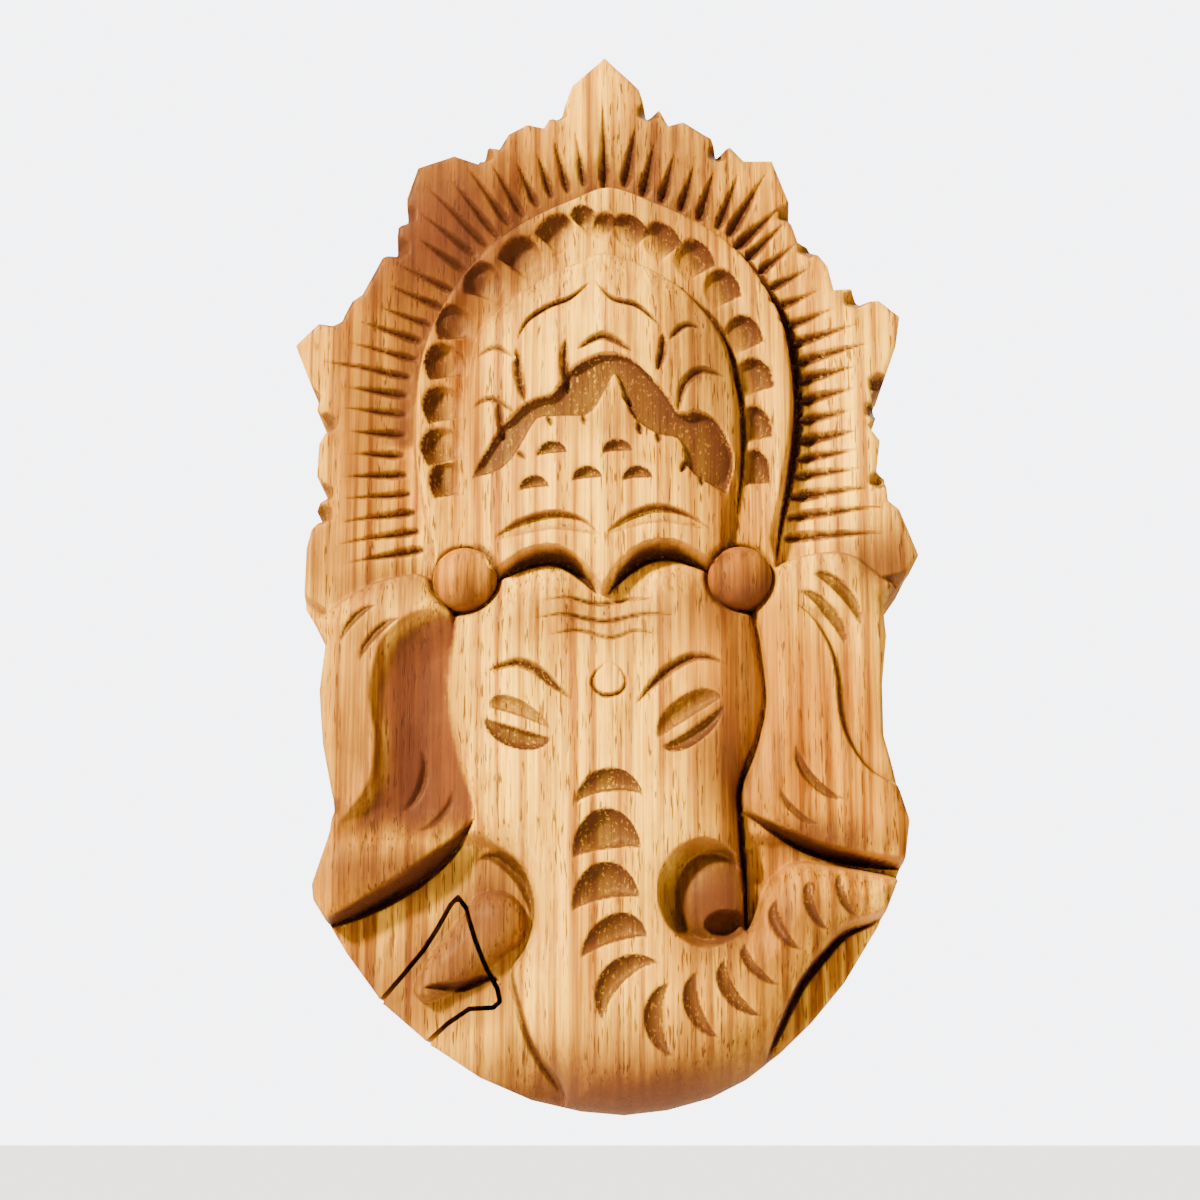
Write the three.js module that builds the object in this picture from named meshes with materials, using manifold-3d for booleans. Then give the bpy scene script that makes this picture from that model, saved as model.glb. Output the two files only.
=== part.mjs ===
// A carved wooden wall box in the shape of an elephant-headed mask. The box is two layers of one
// hardwood: a hollowed body, and a carved lid that turns on a hidden screw near the top. A small
// jigsaw-shaped key is sawn out of the lid, and two half-round buttons are glued on at the temples.
// Sizes are in millimetres. X runs right and Z up as seen from the front; the front faces -Y and
// the flat back lies at y = 0, with the origin at half the height.

import * as THREE from 'three';
import { mergeVertices } from 'three/addons/utils/BufferGeometryUtils.js';
import Module from 'manifold-3d';

const wasm = await Module();
wasm.setup();

// Driving sizes. HEIGHT and WIDTH scale everything drawn on the front board.
const HEIGHT = 180;
const WIDTH = 104.5;
const BODY_THICKNESS = 20;
const LID_THICKNESS = 13.7;
const SEAM_GAP = 0.3;
const RELIEF = 9;
const ARRIS = 0.8;

const POCKET_DEPTH = 15;
const POCKET_HALF_WIDTH = 27;
const POCKET_TOP = 34;
const POCKET_BOTTOM = -60;
const POCKET_CORNER = 12;

const PIVOT_X = 0;
const PIVOT_Z = 73;
const SHANK_RADIUS = 1.95;
const SCREW_PLAY = 0.1;
const HEAD_RADIUS = 3.7;
const HEAD_HEIGHT = 2.4;
const WASHER_RADIUS = 4.5;
const WASHER_THICKNESS = 1;
const COUNTERBORE_RADIUS = 5.2;
const COUNTERBORE_DEPTH = 7;

const HANGER_Z = 44;
const HANGER_HEAD_RADIUS = 4.5;
const HANGER_SLOT_WIDTH = 4.6;
const HANGER_SLOT_RISE = 10;
const HANGER_LIP = 2;
const HANGER_DEPTH = 6;

const KERF = 0.8;
const BUTTON_RADIUS = 5;
const PEG_RADIUS = 2;
const PEG_LENGTH = 4;
const GLUE_GAP = 0.3;

const SX = WIDTH / 104.5;
const SZ = HEIGHT / 180;
const LID_BACK = BODY_THICKNESS + SEAM_GAP;
const HALO_TOP = BODY_THICKNESS + LID_THICKNESS + 0.3;
const GROUND_TOP = HALO_TOP - 3;
const RING_TOP = HALO_TOP + 0.35 * RELIEF;

// ---- shapes ----------------------------------------------------------------------------------
// Solids are drawn on the board: x right, y up, z out of the back face towards the viewer.

const at = (x, y) => new THREE.Vector2(x * SX, y * SZ);

const outlineOf = (points) => new THREE.Shape(points.map(([x, y]) => at(x, y)));

const smoothOutline = (points, steps = 40) => new THREE.Shape(
  new THREE.CatmullRomCurve3(
    points.map(([x, y]) => new THREE.Vector3(x * SX, y * SZ, 0)), true,
  ).getPoints(steps).slice(0, -1).map((p) => new THREE.Vector2(p.x, p.y)),
);

function solid(geometry) {
  const bare = geometry.clone();
  bare.deleteAttribute('normal');
  bare.deleteAttribute('uv');
  const merged = mergeVertices(bare, 1e-4);
  return new wasm.Manifold(new wasm.Mesh({
    numProp: 3,
    vertProperties: new Float32Array(merged.attributes.position.array),
    triVerts: new Uint32Array(merged.index.array),
  }));
}

const union = (parts) => parts.reduce((sum, part) => sum.add(part));

// A prism from z0 to z1; grow pushes its outline out, bevel eases both of its edges.
function prism(shape, z0, z1, { grow = 0, bevel = 0, rounds = 1 } = {}) {
  const geometry = new THREE.ExtrudeGeometry(shape, {
    depth: z1 - z0 - 2 * bevel,
    bevelEnabled: grow !== 0 || bevel > 0,
    bevelThickness: bevel,
    bevelSize: bevel,
    bevelOffset: grow - bevel,
    bevelSegments: bevel > 0 ? rounds : 0,
    curveSegments: 8,
  });
  return solid(geometry.translate(0, 0, z0 + bevel));
}

// The upper surface of a cushion: an ellipsoid centred at (x, y, z) with half sizes a, b, c.
function cushion({ x, y, z, a, b, c }) {
  const height = (px, py) => {
    const rest = 1 - ((px - x) / a) ** 2 - ((py - y) / b) ** 2;
    return z + c * Math.sqrt(Math.max(rest, 0.02));
  };
  const ball = new THREE.SphereGeometry(1, 24, 12).rotateX(Math.PI / 2);
  const body = solid(ball.scale(a * SX, b * SZ, c).translate(x * SX, y * SZ, z));
  return { height, body };
}

// A parting-tool cut: a diamond section swept along a line on the surface, shallow at its ends.
function groove(points, surface, width, depth, steps = 4) {
  const last = points.length - 1;
  const path = new THREE.CatmullRomCurve3(points.map(([x, y], i) => {
    const lift = i === 0 || i === last ? 0.8 * depth : 0;
    return new THREE.Vector3(x * SX, y * SZ, surface(x, y) + lift);
  }));
  const section = new THREE.Shape([
    new THREE.Vector2(-depth, 0), new THREE.Vector2(0, -width / 2),
    new THREE.Vector2(depth, 0), new THREE.Vector2(0, width / 2),
  ]);
  return solid(new THREE.ExtrudeGeometry(section, { steps, extrudePath: path }));
}

// A tapering V cut from a deep inner end to a point near the rim.
function ray([x0, y0], [x1, y1], z, width, depth) {
  const from = at(x0, y0);
  const to = at(x1, y1);
  const length = from.distanceTo(to);
  const cone = new THREE.ConeGeometry(1, length, 4).translate(0, length / 2, 0);
  cone.scale(width / 2, 1, depth).rotateZ(Math.atan2(to.y - from.y, to.x - from.x) - Math.PI / 2);
  return solid(cone.translate(from.x, from.y, z));
}

// A thumbnail cut: a round gouge driven in at a slant, deepest at its heel.
function gouge([x, y], z, radius, heading, slant = 0.6, reach = 1) {
  const drum = new THREE.CylinderGeometry(radius, radius, 20, 10).rotateX(Math.PI / 2);
  drum.scale(1, reach, 1).translate(0, -radius * reach, 10).rotateX(slant);
  drum.rotateZ(heading).translate(x * SX, y * SZ, z);
  return solid(drum);
}

// ---- outline ---------------------------------------------------------------------------------

const RIM = [
  [0, 90], [6, 84], [7.2, 79.7], [9.4, 80.3], [11, 77.2], [13.6, 77.9], [18.4, 74.8], [19.2, 72.2],
  [21.6, 73.2], [24, 70.6], [28.8, 70.6], [31.6, 63], [31.8, 59.6], [33, 56], [34.8, 55.6],
  [38, 51.4], [39, 47.2], [42, 47.3], [43.4, 44.9], [46.6, 45.1], [50, 42.2], [49.2, 37],
  [46.9, 30.6], [44.6, 28.6], [45.7, 24.6], [44, 23.2], [46.1, 20.4], [45.4, 15.1], [46.8, 14],
  [47.2, 10], [49, 8.5], [52, 0.6], [49.2, -3.4], [45.8, -7.8], [46.3, -13], [45.4, -21],
  [45.4, -29.5], [47.4, -37.5], [49.2, -43.5], [48.4, -49.4], [44, -60.3], [38.4, -69.3],
  [33, -75.6], [28, -80.4], [22.4, -84.6], [17, -87.3], [10, -89.2], [3, -90], [-4, -89.4],
  [-12, -87.6], [-20, -84.2], [-28, -79], [-35.6, -72.6], [-41.5, -64.8], [-46.9, -56.2],
  [-47.2, -53.8], [-44.4, -45], [-44.1, -40], [-46, -31], [-46.8, -22], [-46, -14.6],
  [-47.6, -11.4], [-49.8, -7.8], [-49.6, 2], [-48.9, 5.2], [-46.6, 7.7], [-48.2, 8.7],
  [-46.5, 11.7], [-48.2, 14.4], [-48, 20], [-46.2, 23.6], [-48.5, 26], [-48, 29], [-49.6, 30.4],
  [-52.4, 37.4], [-48.6, 41.4], [-44.6, 42], [-43, 45.4], [-41.3, 46.6], [-38, 53.2],
  [-35.8, 54.2], [-35.4, 58.6], [-34, 60], [-34, 64], [-32.2, 69.6], [-26, 71.8], [-21.8, 70.3],
  [-20.2, 73.5], [-18.2, 73], [-16.6, 75.8], [-13.4, 77.6], [-10.5, 76.9], [-9, 79.7],
  [-7.4, 79.8], [-5.6, 84.8],
];
const rim = outlineOf(RIM);
const column = prism(rim, LID_BACK, HALO_TOP + 4 * RELIEF);

// ---- raised forms of the carving -------------------------------------------------------------

const RING_OUTER = [
  [0.8, 65.2], [9, 62.2], [17.6, 57.8], [24.3, 51.7], [29.6, 42.5], [31.3, 34.5], [31.7, 25],
  [30.1, 14], [28, 4], [26, -6], [0, -12], [-26, -6], [-28.4, 1], [-29.9, 7.1], [-31.6, 15],
  [-32.2, 23], [-31.6, 31], [-30, 38.5], [-26.5, 45.9], [-21, 53.3], [-14.2, 58.7], [-6, 62.8],
];
const RING_INNER = [
  [0, 60.2], [7, 57.6], [13.5, 54.6], [19.2, 50.1], [23.6, 43.8], [26.8, 36], [28.4, 28],
  [28.2, 18], [27, 8], [22, -3], [-22, -3], [-27.4, 8], [-29, 16], [-29.2, 25], [-28.2, 34],
  [-23.7, 44.8], [-17.9, 51.6], [-12, 56], [-6, 58.9],
];
const CROWN = [
  [0, 53], [6.4, 50.8], [12.6, 47], [17.4, 41.8], [20.4, 36.5], [22, 30], [22.6, 22.8],
  [22.3, 14.5], [21, 8], [20, -1], [-20, -1], [-22, 8], [-22.6, 16], [-23, 25], [-22.6, 32.5],
  [-21, 39], [-16.5, 44.5], [-10, 48.8], [-4.5, 51.3],
];
const BAND = [
  [-20.4, 0.6], [-18.2, 2], [-13.6, 4.8], [-8.2, 6], [-3.4, 4.8], [-0.5, 2.4], [3.8, 5.3],
  [8.8, 6.8], [13.8, 5.4], [18, 3], [20.2, 0.8], [19.6, -3.2], [15, -1.6], [10.6, 0.2],
  [6.4, -0.4], [2.8, -3.2], [-0.4, -7], [-3.8, -3.2], [-7.8, -0.6], [-12.4, -0.4],
  [-17.2, -2.6], [-20, -3.6],
];
const FACE = [
  [-18, 0], [0, 2], [18, 1], [24, -8], [25.4, -17], [26, -24], [24.6, -31], [22, -37.6],
  [21.6, -41], [16.5, -47.5], [11.8, -55.5], [11.8, -64], [6, -80], [-8, -80], [-12, -70],
  [-11.6, -59], [-17.6, -49], [-20.6, -43], [-23.6, -34], [-25.4, -25], [-25.3, -15],
  [-24.4, -8],
];
const LEFT_EAR = [
  [-48, -10], [-43.6, -7], [-39.3, -4.4], [-34.5, -2.6], [-29.5, -2.8], [-24.6, -9.5],
  [-25.4, -17.6], [-25.4, -25], [-23.6, -34], [-21.4, -43], [-27, -50.4], [-34.5, -55.4],
  [-48, -60.6], [-56, -50], [-52, -12],
];
const RIGHT_EAR = [
  [28, -1.6], [31.5, 0.2], [36, 1], [41, 0.4], [45.4, -3], [56, -12], [56, -52], [48, -51],
  [37, -49], [31, -46.8], [22, -41.8], [24.6, -31], [26, -24], [25.3, -15], [24.2, -7],
];
const TRUNK = [
  [11, -63], [14.5, -66.2], [18.6, -66], [22.4, -62], [23.2, -56], [22.4, -45], [31, -48],
  [37, -50.4], [48, -52.4], [50, -56], [46, -59.6], [38.8, -61.2], [35, -64.7], [31.8, -68.9],
  [29.5, -73.4], [27, -79], [25, -84], [16, -94], [-4, -95], [-8.6, -86], [-11, -81],
  [-13.6, -74.5], [-15.6, -68], [-12, -60],
];
const HALO_FOOT = [[-60, -8.5], [-47, -12], [0, -20], [47, -6], [60, 0], [60, 100], [-60, 100]];

const crown = cushion({ x: 0, y: 20, z: HALO_TOP - 14, a: 34, b: 52, c: 14 + 0.95 * RELIEF });
const face = cushion({ x: 0, y: -26, z: HALO_TOP - 16, a: 46, b: 62, c: 16 + 0.45 * RELIEF });
const trunk = cushion({ x: 2, y: -62, z: HALO_TOP - 26, a: 68, b: 46, c: 26 + 0.72 * RELIEF });
const leftEar = cushion({ x: -36, y: -28, z: HALO_TOP - 14, a: 24, b: 52, c: 14 + 0.42 * RELIEF });
const rightEar = cushion({ x: 36, y: -24, z: HALO_TOP - 14, a: 24, b: 50, c: 14 + 0.42 * RELIEF });

const CUT_BASE = LID_BACK + 4;
const rise = (points, top, options) => prism(smoothOutline(points, 26), CUT_BASE, top, options);
const moulded = (points, form) => rise(points, 80).intersect(form.body);

function carvedBoard() {
  const ground = prism(rim, LID_BACK, GROUND_TOP);
  const haloLayer = prism(outlineOf(HALO_FOOT), CUT_BASE, HALO_TOP).intersect(column);
  const dishBowl = new THREE.LatheGeometry([
    new THREE.Vector2(0, -3), new THREE.Vector2(30, -3), new THREE.Vector2(54, 0.6),
    new THREE.Vector2(54, 8), new THREE.Vector2(0, 8),
  ], 14).rotateX(Math.PI / 2);
  const dish = solid(dishBowl.scale(SX, 1.08 * SZ, 1).translate(0, 24 * SZ, HALO_TOP));
  const halo = haloLayer.subtract(dish);

  const ring = rise(RING_OUTER, RING_TOP, { bevel: 1.2 })
    .subtract(prism(smoothOutline(RING_INNER, 24), HALO_TOP - 0.4, 80));
  const band = rise(BAND, crown.height(0, 3) - 0.2, { bevel: 1 });
  const forms = [
    ground, halo, ring, band,
    moulded(CROWN, crown),
    moulded(FACE, face),
    moulded(LEFT_EAR, leftEar),
    moulded(RIGHT_EAR, rightEar),
    moulded(TRUNK, trunk),
  ];
  return union(forms).intersect(column);
}

// The left tusk runs out over the key; the right one is a short round stub in a hollow.
function tusks() {
  const root = cushion({ x: -17.4, y: -59.6, z: HALO_TOP - 2, a: 5.6, b: 6.4, c: 5.2 }).body;
  const length = 17;
  const tip = new THREE.ConeGeometry(4.6, length, 12).translate(0, length / 2, 0);
  tip.rotateX(-0.2).rotateZ(2.3).translate(-17.2 * SX, -60 * SZ, HALO_TOP - 2.6);
  const stub = cushion({ x: 17.6, y: -55.6, z: HALO_TOP - 4, a: 5, b: 7.6, c: 6 }).body;
  return union([root, solid(tip), stub]);
}

function tuskHollows() {
  const left = cushion({ x: -17.4, y: -57.5, z: HALO_TOP + 6, a: 7.6, b: 9.5, c: 8.6 }).body;
  const right = cushion({ x: 16.6, y: -55.4, z: HALO_TOP + 6, a: 8, b: 9.8, c: 9 }).body;
  return union([left, right]);
}

// ---- cuts ------------------------------------------------------------------------------------

// Rays of the halo, each from its inner end by the ring to its point near the rim.
const RAYS = [
  [0.1, 66.9, -0.3, 81.8], [3.6, 67.5, 5.6, 77.8], [6.8, 65.6, 8.7, 74.7], [10, 64.4, 12.3, 73],
  [13.3, 62.8, 15.6, 70.6], [16.5, 61.2, 19, 69.4], [19.6, 59.4, 23.4, 69],
  [21.6, 58.2, 28.1, 68.7], [22.8, 55.8, 31, 62.8], [24, 53.2, 31.4, 59.8],
  [25.6, 50.6, 33.4, 56], [27, 47.6, 35.4, 51.4], [28.4, 44.4, 37, 47.4], [30, 41, 39.6, 44],
  [31, 38, 43.6, 41], [32.2, 34.8, 45.4, 37.6], [32.6, 31.6, 43, 33.6], [33, 28, 43, 29.8],
  [33.1, 24.6, 42.4, 25.8], [33, 21, 43, 22.2], [32.7, 17.8, 43, 18.8], [32, 14.8, 43.6, 15.5],
  [31.5, 11.2, 45, 12.2], [31, 7.6, 47.4, 8.9], [30.4, 4, 48.6, 4.4],
  [-3.6, 67.4, -5.2, 77], [-6.4, 66.2, -9, 75.6], [-9.2, 65.2, -11.8, 72.8],
  [-11.8, 63.6, -15.4, 71], [-14.2, 61.8, -20, 71], [-16.6, 60.2, -24, 70],
  [-18.6, 58, -27, 68], [-20.4, 56.2, -31.2, 66.6], [-22.6, 54.6, -31.9, 61.4],
  [-24.2, 51.8, -32.4, 57], [-26.2, 48, -36.4, 52.4], [-28, 45, -37.4, 48.4],
  [-30, 41.8, -39, 44.6], [-31.6, 38.9, -42.2, 41.8], [-32.4, 35.6, -44, 38],
  [-33.4, 32.4, -49.4, 34.8], [-34, 29.2, -44.4, 30], [-34.1, 25.8, -44.4, 26.3],
  [-34.2, 22.2, -43.4, 22.2], [-34.4, 18.6, -43.2, 18.3], [-33.8, 15.2, -44.2, 14.2],
  [-33, 11.9, -44.6, 10.2], [-32.3, 8.7, -44.7, 6.2], [-31.5, 5.4, -45.2, 2.4],
  [-30.8, 2.2, -43.4, -0.8],
];

// Scoops in the channel between the ring and the crown.
const SCOOPS = [
  [-3.2, 57], [-9, 54.6], [-14.8, 51], [-20, 45.8], [-23.8, 39.6], [-25.8, 32.6], [-26.4, 25.4],
  [-26, 18.6], [-24.8, 12], [1.6, 57.2], [6.8, 55.4], [11.8, 52.8], [16.8, 48.8], [20.8, 43.4],
  [23.6, 37], [25.2, 30], [25.6, 23], [25.2, 16], [24.2, 9.6],
];

// Thumbnail cuts down the trunk: heel x, y, radius, then the way the cut faces.
const TRUNK_CUTS = [
  [0.4, -36.4, 5.6, 0], [-0.2, -43.4, 5.8, 0], [-0.4, -51.6, 5.8, 0.05], [1.4, -59.4, 5.6, 0.12],
  [3.4, -67, 6.2, 0.45], [7.4, -71.4, 6.6, 1.3], [13, -71.2, 5.6, 1.5], [18, -68.6, 5.4, 1.7],
  [22.4, -65.2, 5, 1.85], [26.8, -60.6, 4.8, 1.95], [31.8, -57.4, 4.2, 2], [36.8, -55, 3.8, 2],
];

const EAR_LINES = {
  left: [
    [[-42.4, -14.4], [-40.6, -11.2], [-37.4, -9.2]], [[-39.2, -17.5], [-37.4, -13.8], [-33.6, -11.4]],
    [[-30.6, -31.6], [-29.8, -36.4], [-33.4, -41.4]], [[-25.4, -38.2], [-26.6, -42], [-30.2, -44.8]],
    [[-28, -8.6], [-33.1, -11.3], [-36.6, -15], [-38, -21.5], [-37.8, -26.6], [-37, -31],
      [-37.8, -37], [-40, -41.2], [-44, -45]],
  ],
  right: [
    [[34.8, -4.2], [38.8, -6.6], [41, -11.8]], [[32.2, -6.9], [36, -9.6], [38.5, -14.8]],
    [[31.4, -31.8], [32.6, -37], [38.4, -40]], [[28.6, -38.6], [30.6, -42.4], [34.2, -44]],
    [[33.6, -10.6], [36.8, -15.4], [37.8, -20.5], [38.2, -26.4], [39.8, -31], [42.8, -35.6],
      [47, -38]],
  ],
};

const FACE_LINES = [
  [[-10.6, -8.5], [-4, -7.4], [3, -8.8], [9.2, -8.2]], [[-12, -11.4], [-4, -10.2], [4, -11.8], [11.8, -10.6]],
  [[-9.6, -14.2], [-3, -13], [3.4, -14.6], [9.2, -13.9]],
  [[-19, -20], [-14.3, -18.6], [-11, -19.8], [-8, -22.4], [-5.2, -24.6]],
  [[5.2, -25.4], [8.7, -21.2], [12.9, -18.2], [16.4, -17.7], [19.8, -18.9]],
  [[-19.3, -25.8], [-15.5, -24.4], [-11.4, -26.6], [-8.4, -30]],
  [[-19.3, -26.6], [-16.4, -30.4], [-13, -32], [-8.4, -30.4]],
  [[8, -31.6], [10, -26.6], [14, -23.6], [19.2, -24]],
  [[8.6, -32], [12.8, -32.2], [16.9, -29.2], [19.2, -24.6]],
  [[-1.9, -22.6], [-1.2, -19.6], [0.8, -18.4], [2.8, -19.8], [3.2, -22.6], [0.7, -23.8], [-1.9, -22.6]],
];

const CROWN_LINES = [
  [[-14.5, 35.3], [-12.8, 39.6], [-9.1, 42], [-5.6, 43.4], [-2, 46.4]],
  [[-1.8, 46.4], [1.4, 43], [5.4, 41.9], [8.2, 39.4], [9.4, 35.4]],
  [[-14.3, 32], [-14, 29], [-12.8, 26]], [[9.4, 34.6], [9.3, 31], [8.2, 27.4]],
  [[-6.2, 33.2], [-6.4, 28], [-5.6, 24]], [[-4.8, 33.4], [-0.2, 36.1], [4.4, 33.4]],
  [[-21.4, 33.8], [-18.2, 34.9], [-14.8, 32.9]], [[-22, 24.6], [-19, 26], [-14.8, 23.6]],
  [[10.9, 35.8], [13.4, 38.6], [16, 38.2]], [[12.2, 22.6], [13.2, 28], [16.2, 30.4], [20.2, 30]],
];

const WAVY_BAND = [
  [-22.6, 12], [-17, 14], [-14.2, 17.1], [-12, 21], [-10, 22.6], [-3, 22.8], [-0.2, 26.4],
  [1.8, 29.6], [3.4, 25.6], [5, 22.2], [8.6, 19.6], [12.6, 18.6], [14.2, 13.4], [20, 10],
  [21.4, 16], [18.4, 21.6], [15.6, 22.6], [12.2, 21.2], [10.6, 25.4], [7.6, 29.4], [3.6, 32.6],
  [-1.2, 33], [-5.8, 30.6], [-8.4, 26.4], [-12.6, 25], [-17, 20.6],
];

const SMALL_NICKS = [[-8.5, 16.8], [2.2, 17.2], [-11.4, 11], [-2.7, 12.4], [5.5, 12.6]];

function cuts() {
  const rays = RAYS.map(([x0, y0, x1, y1], i) => (
    ray([x0, y0], [x1, y1], HALO_TOP - 1.2, i % 2 ? 2.6 : 3, 2)));
  const scoops = SCOOPS.map(([x, y]) => {
    const ball = new THREE.SphereGeometry(3.2, 6, 5).scale(1, 1, 0.8);
    return solid(ball.translate(x * SX, y * SZ, HALO_TOP));
  });
  const surfaceOfFace = (x, y) => face.height(x, y);
  const trunkCuts = TRUNK_CUTS.map(([x, y, radius, heading], i) => (
    gouge([x, y], (i < 2 ? face : trunk).height(x, y) - 2.1, radius, heading, 0.5, 0.8)));
  const faceLines = FACE_LINES.map((line, i) => groove(line, surfaceOfFace, i < 3 ? 1.2 : 1.7, 0.9));
  const crownLines = CROWN_LINES.map((line) => groove(line, crown.height, 1.8, 1.1));
  const nicks = SMALL_NICKS.map(([x, y]) => gouge([x, y], crown.height(x, y) - 1, 2.2, 0, 0.5));
  const ears = [...EAR_LINES.left.map((line) => groove(line, leftEar.height, 2, 1.3)),
    ...EAR_LINES.right.map((line) => groove(line, rightEar.height, 2, 1.3))];
  const wave = prism(outlineOf(WAVY_BAND), crown.height(0, 24) - 2.4, 80);
  return union([...rays, ...scoops, ...trunkCuts, ...faceLines, ...crownLines, ...nicks, ...ears, wave]);
}

// ---- holes and fixings -----------------------------------------------------------------------

function turned(profile, x, y, segments = 24) {
  const points = profile.map(([radius, z]) => new THREE.Vector2(radius, z));
  const geometry = new THREE.LatheGeometry(points, segments).rotateX(Math.PI / 2);
  return solid(geometry.translate(x * SX, y * SZ, 0));
}

const drill = (radius, z0, z1, x, y, segments) => (
  turned([[0, z0], [radius, z0], [radius, z1], [0, z1]], x, y, segments));

const WASHER_TOP = COUNTERBORE_DEPTH - GLUE_GAP;
const WASHER_BOTTOM = WASHER_TOP - WASHER_THICKNESS;
const HEAD_TOP = WASHER_BOTTOM - GLUE_GAP;
const HEAD_BOTTOM = HEAD_TOP - HEAD_HEIGHT;
const SCREW_TIP = HALO_TOP - 4.6;

function pivotScrew() {
  const shaft = turned([
    [0, HEAD_BOTTOM], [HEAD_RADIUS * 0.8, HEAD_BOTTOM], [HEAD_RADIUS, HEAD_BOTTOM + 0.9],
    [HEAD_RADIUS, HEAD_TOP], [SHANK_RADIUS, HEAD_TOP], [SHANK_RADIUS, SCREW_TIP - 3],
    [0, SCREW_TIP],
  ], PIVOT_X, PIVOT_Z);
  const slot = new THREE.BoxGeometry(4.4, 0.9, 2.6);
  const place = [PIVOT_X * SX, PIVOT_Z * SZ, HEAD_BOTTOM];
  const cross = solid(slot.clone().translate(...place))
    .add(solid(slot.clone().rotateZ(Math.PI / 2).translate(...place)));
  return shaft.subtract(cross);
}

function pivotWasher() {
  const inner = SHANK_RADIUS + 0.25;
  return turned([
    [inner, WASHER_BOTTOM], [WASHER_RADIUS, WASHER_BOTTOM], [WASHER_RADIUS, WASHER_TOP],
    [inner, WASHER_TOP], [inner, WASHER_BOTTOM],
  ], PIVOT_X, PIVOT_Z);
}

function hangingSlot() {
  const centre = at(0, HANGER_Z);
  const entry = drill(HANGER_HEAD_RADIUS, -1, HANGER_DEPTH, 0, HANGER_Z);
  const slot = (width, z0, z1) => {
    const run = new THREE.BoxGeometry(width, HANGER_SLOT_RISE, z1 - z0);
    run.translate(centre.x, centre.y + HANGER_SLOT_RISE / 2, (z0 + z1) / 2);
    const end = new THREE.CylinderGeometry(width / 2, width / 2, z1 - z0, 24).rotateX(Math.PI / 2);
    end.translate(centre.x, centre.y + HANGER_SLOT_RISE, (z0 + z1) / 2);
    return solid(run).add(solid(end));
  };
  return union([
    entry, slot(HANGER_SLOT_WIDTH, -1, HANGER_DEPTH),
    slot(2 * HANGER_HEAD_RADIUS, HANGER_LIP, HANGER_DEPTH),
  ]);
}

function body() {
  const pocket = new THREE.Shape();
  const [w, r, top, low] = [POCKET_HALF_WIDTH * SX, POCKET_CORNER, POCKET_TOP * SZ, POCKET_BOTTOM * SZ];
  pocket.absarc(w - r, top - r, r, 0, Math.PI / 2);
  pocket.absarc(r - w, top - r, r, Math.PI / 2, Math.PI);
  pocket.absarc(r - w, low + r, r, Math.PI, 1.5 * Math.PI);
  pocket.absarc(w - r, low + r, r, 1.5 * Math.PI, 2 * Math.PI);
  const floor = BODY_THICKNESS - POCKET_DEPTH;
  return prism(rim, 0, BODY_THICKNESS, { bevel: ARRIS, grow: -0.2 })
    .subtract(prism(pocket, floor, BODY_THICKNESS + 2))
    .subtract(drill(SHANK_RADIUS + SCREW_PLAY, -1, BODY_THICKNESS + 1, PIVOT_X, PIVOT_Z))
    .subtract(drill(COUNTERBORE_RADIUS, -1, COUNTERBORE_DEPTH, PIVOT_X, PIVOT_Z))
    .subtract(hangingSlot());
}

// ---- lid, key and buttons --------------------------------------------------------------------

const KEY = [
  [-36.2, -72.4], [-32.3, -67.8], [-29.2, -64], [-26.9, -60.3], [-25, -56.8], [-23.8, -55.6],
  [-22.4, -57.4], [-20.7, -62.7], [-19, -67.1], [-17.3, -70.2], [-16.9, -72.2], [-17.9, -73.2],
  [-21.8, -73.4], [-25.2, -75.7], [-29.4, -79.6], [-36, -84], [-42, -76],
];
const key = outlineOf(KEY);

const BUTTONS = { left: [-23, -4.1], right: [22.2, -4] };
const BUTTON_SEAT = HALO_TOP + 1;

function button(x, y) {
  const steps = 5;
  const dome = Array.from({ length: steps + 1 }, (_, i) => {
    const turn = (i / steps) * Math.PI / 2;
    return [BUTTON_RADIUS * Math.cos(turn), BUTTON_SEAT + GLUE_GAP + 1 + 0.85 * BUTTON_RADIUS * Math.sin(turn)];
  });
  dome[steps][0] = 0;
  return turned([
    [0, BUTTON_SEAT - PEG_LENGTH], [PEG_RADIUS, BUTTON_SEAT - PEG_LENGTH],
    [PEG_RADIUS, BUTTON_SEAT + GLUE_GAP], [BUTTON_RADIUS, BUTTON_SEAT + GLUE_GAP], ...dome,
  ], x, y, 20);
}

const buttonHole = ([x, y]) => union([
  drill(PEG_RADIUS + 0.15, BUTTON_SEAT - PEG_LENGTH - GLUE_GAP, 80, x, y),
  drill(BUTTON_RADIUS + GLUE_GAP, BUTTON_SEAT, 80, x, y),
]);

const carved = carvedBoard().subtract(tuskHollows())
  .add(tusks().intersect(column))
  .subtract(cuts())
  .subtract(buttonHole(BUTTONS.left))
  .subtract(buttonHole(BUTTONS.right));

const lidSolid = carved
  .subtract(prism(key, 0, 90, { grow: KERF / 2 }))
  .subtract(drill(SHANK_RADIUS + 0.2, 0, SCREW_TIP + GLUE_GAP, PIVOT_X, PIVOT_Z));
const keySolid = carved.intersect(prism(key, 0, 90, { grow: -KERF / 2 }));

// ---- the assembled object --------------------------------------------------------------------

const wood = (color) => new THREE.MeshStandardMaterial({ color, roughness: 0.48, metalness: 0 });
const steel = new THREE.MeshStandardMaterial({ color: 0xb9b6ae, roughness: 0.35, metalness: 1 });

// Keeps only the largest closed piece, so that no loose splinter is left by a cut.
function mainPiece(part) {
  return part.decompose().sort((a, b) => b.volume() - a.volume())[0];
}

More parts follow.
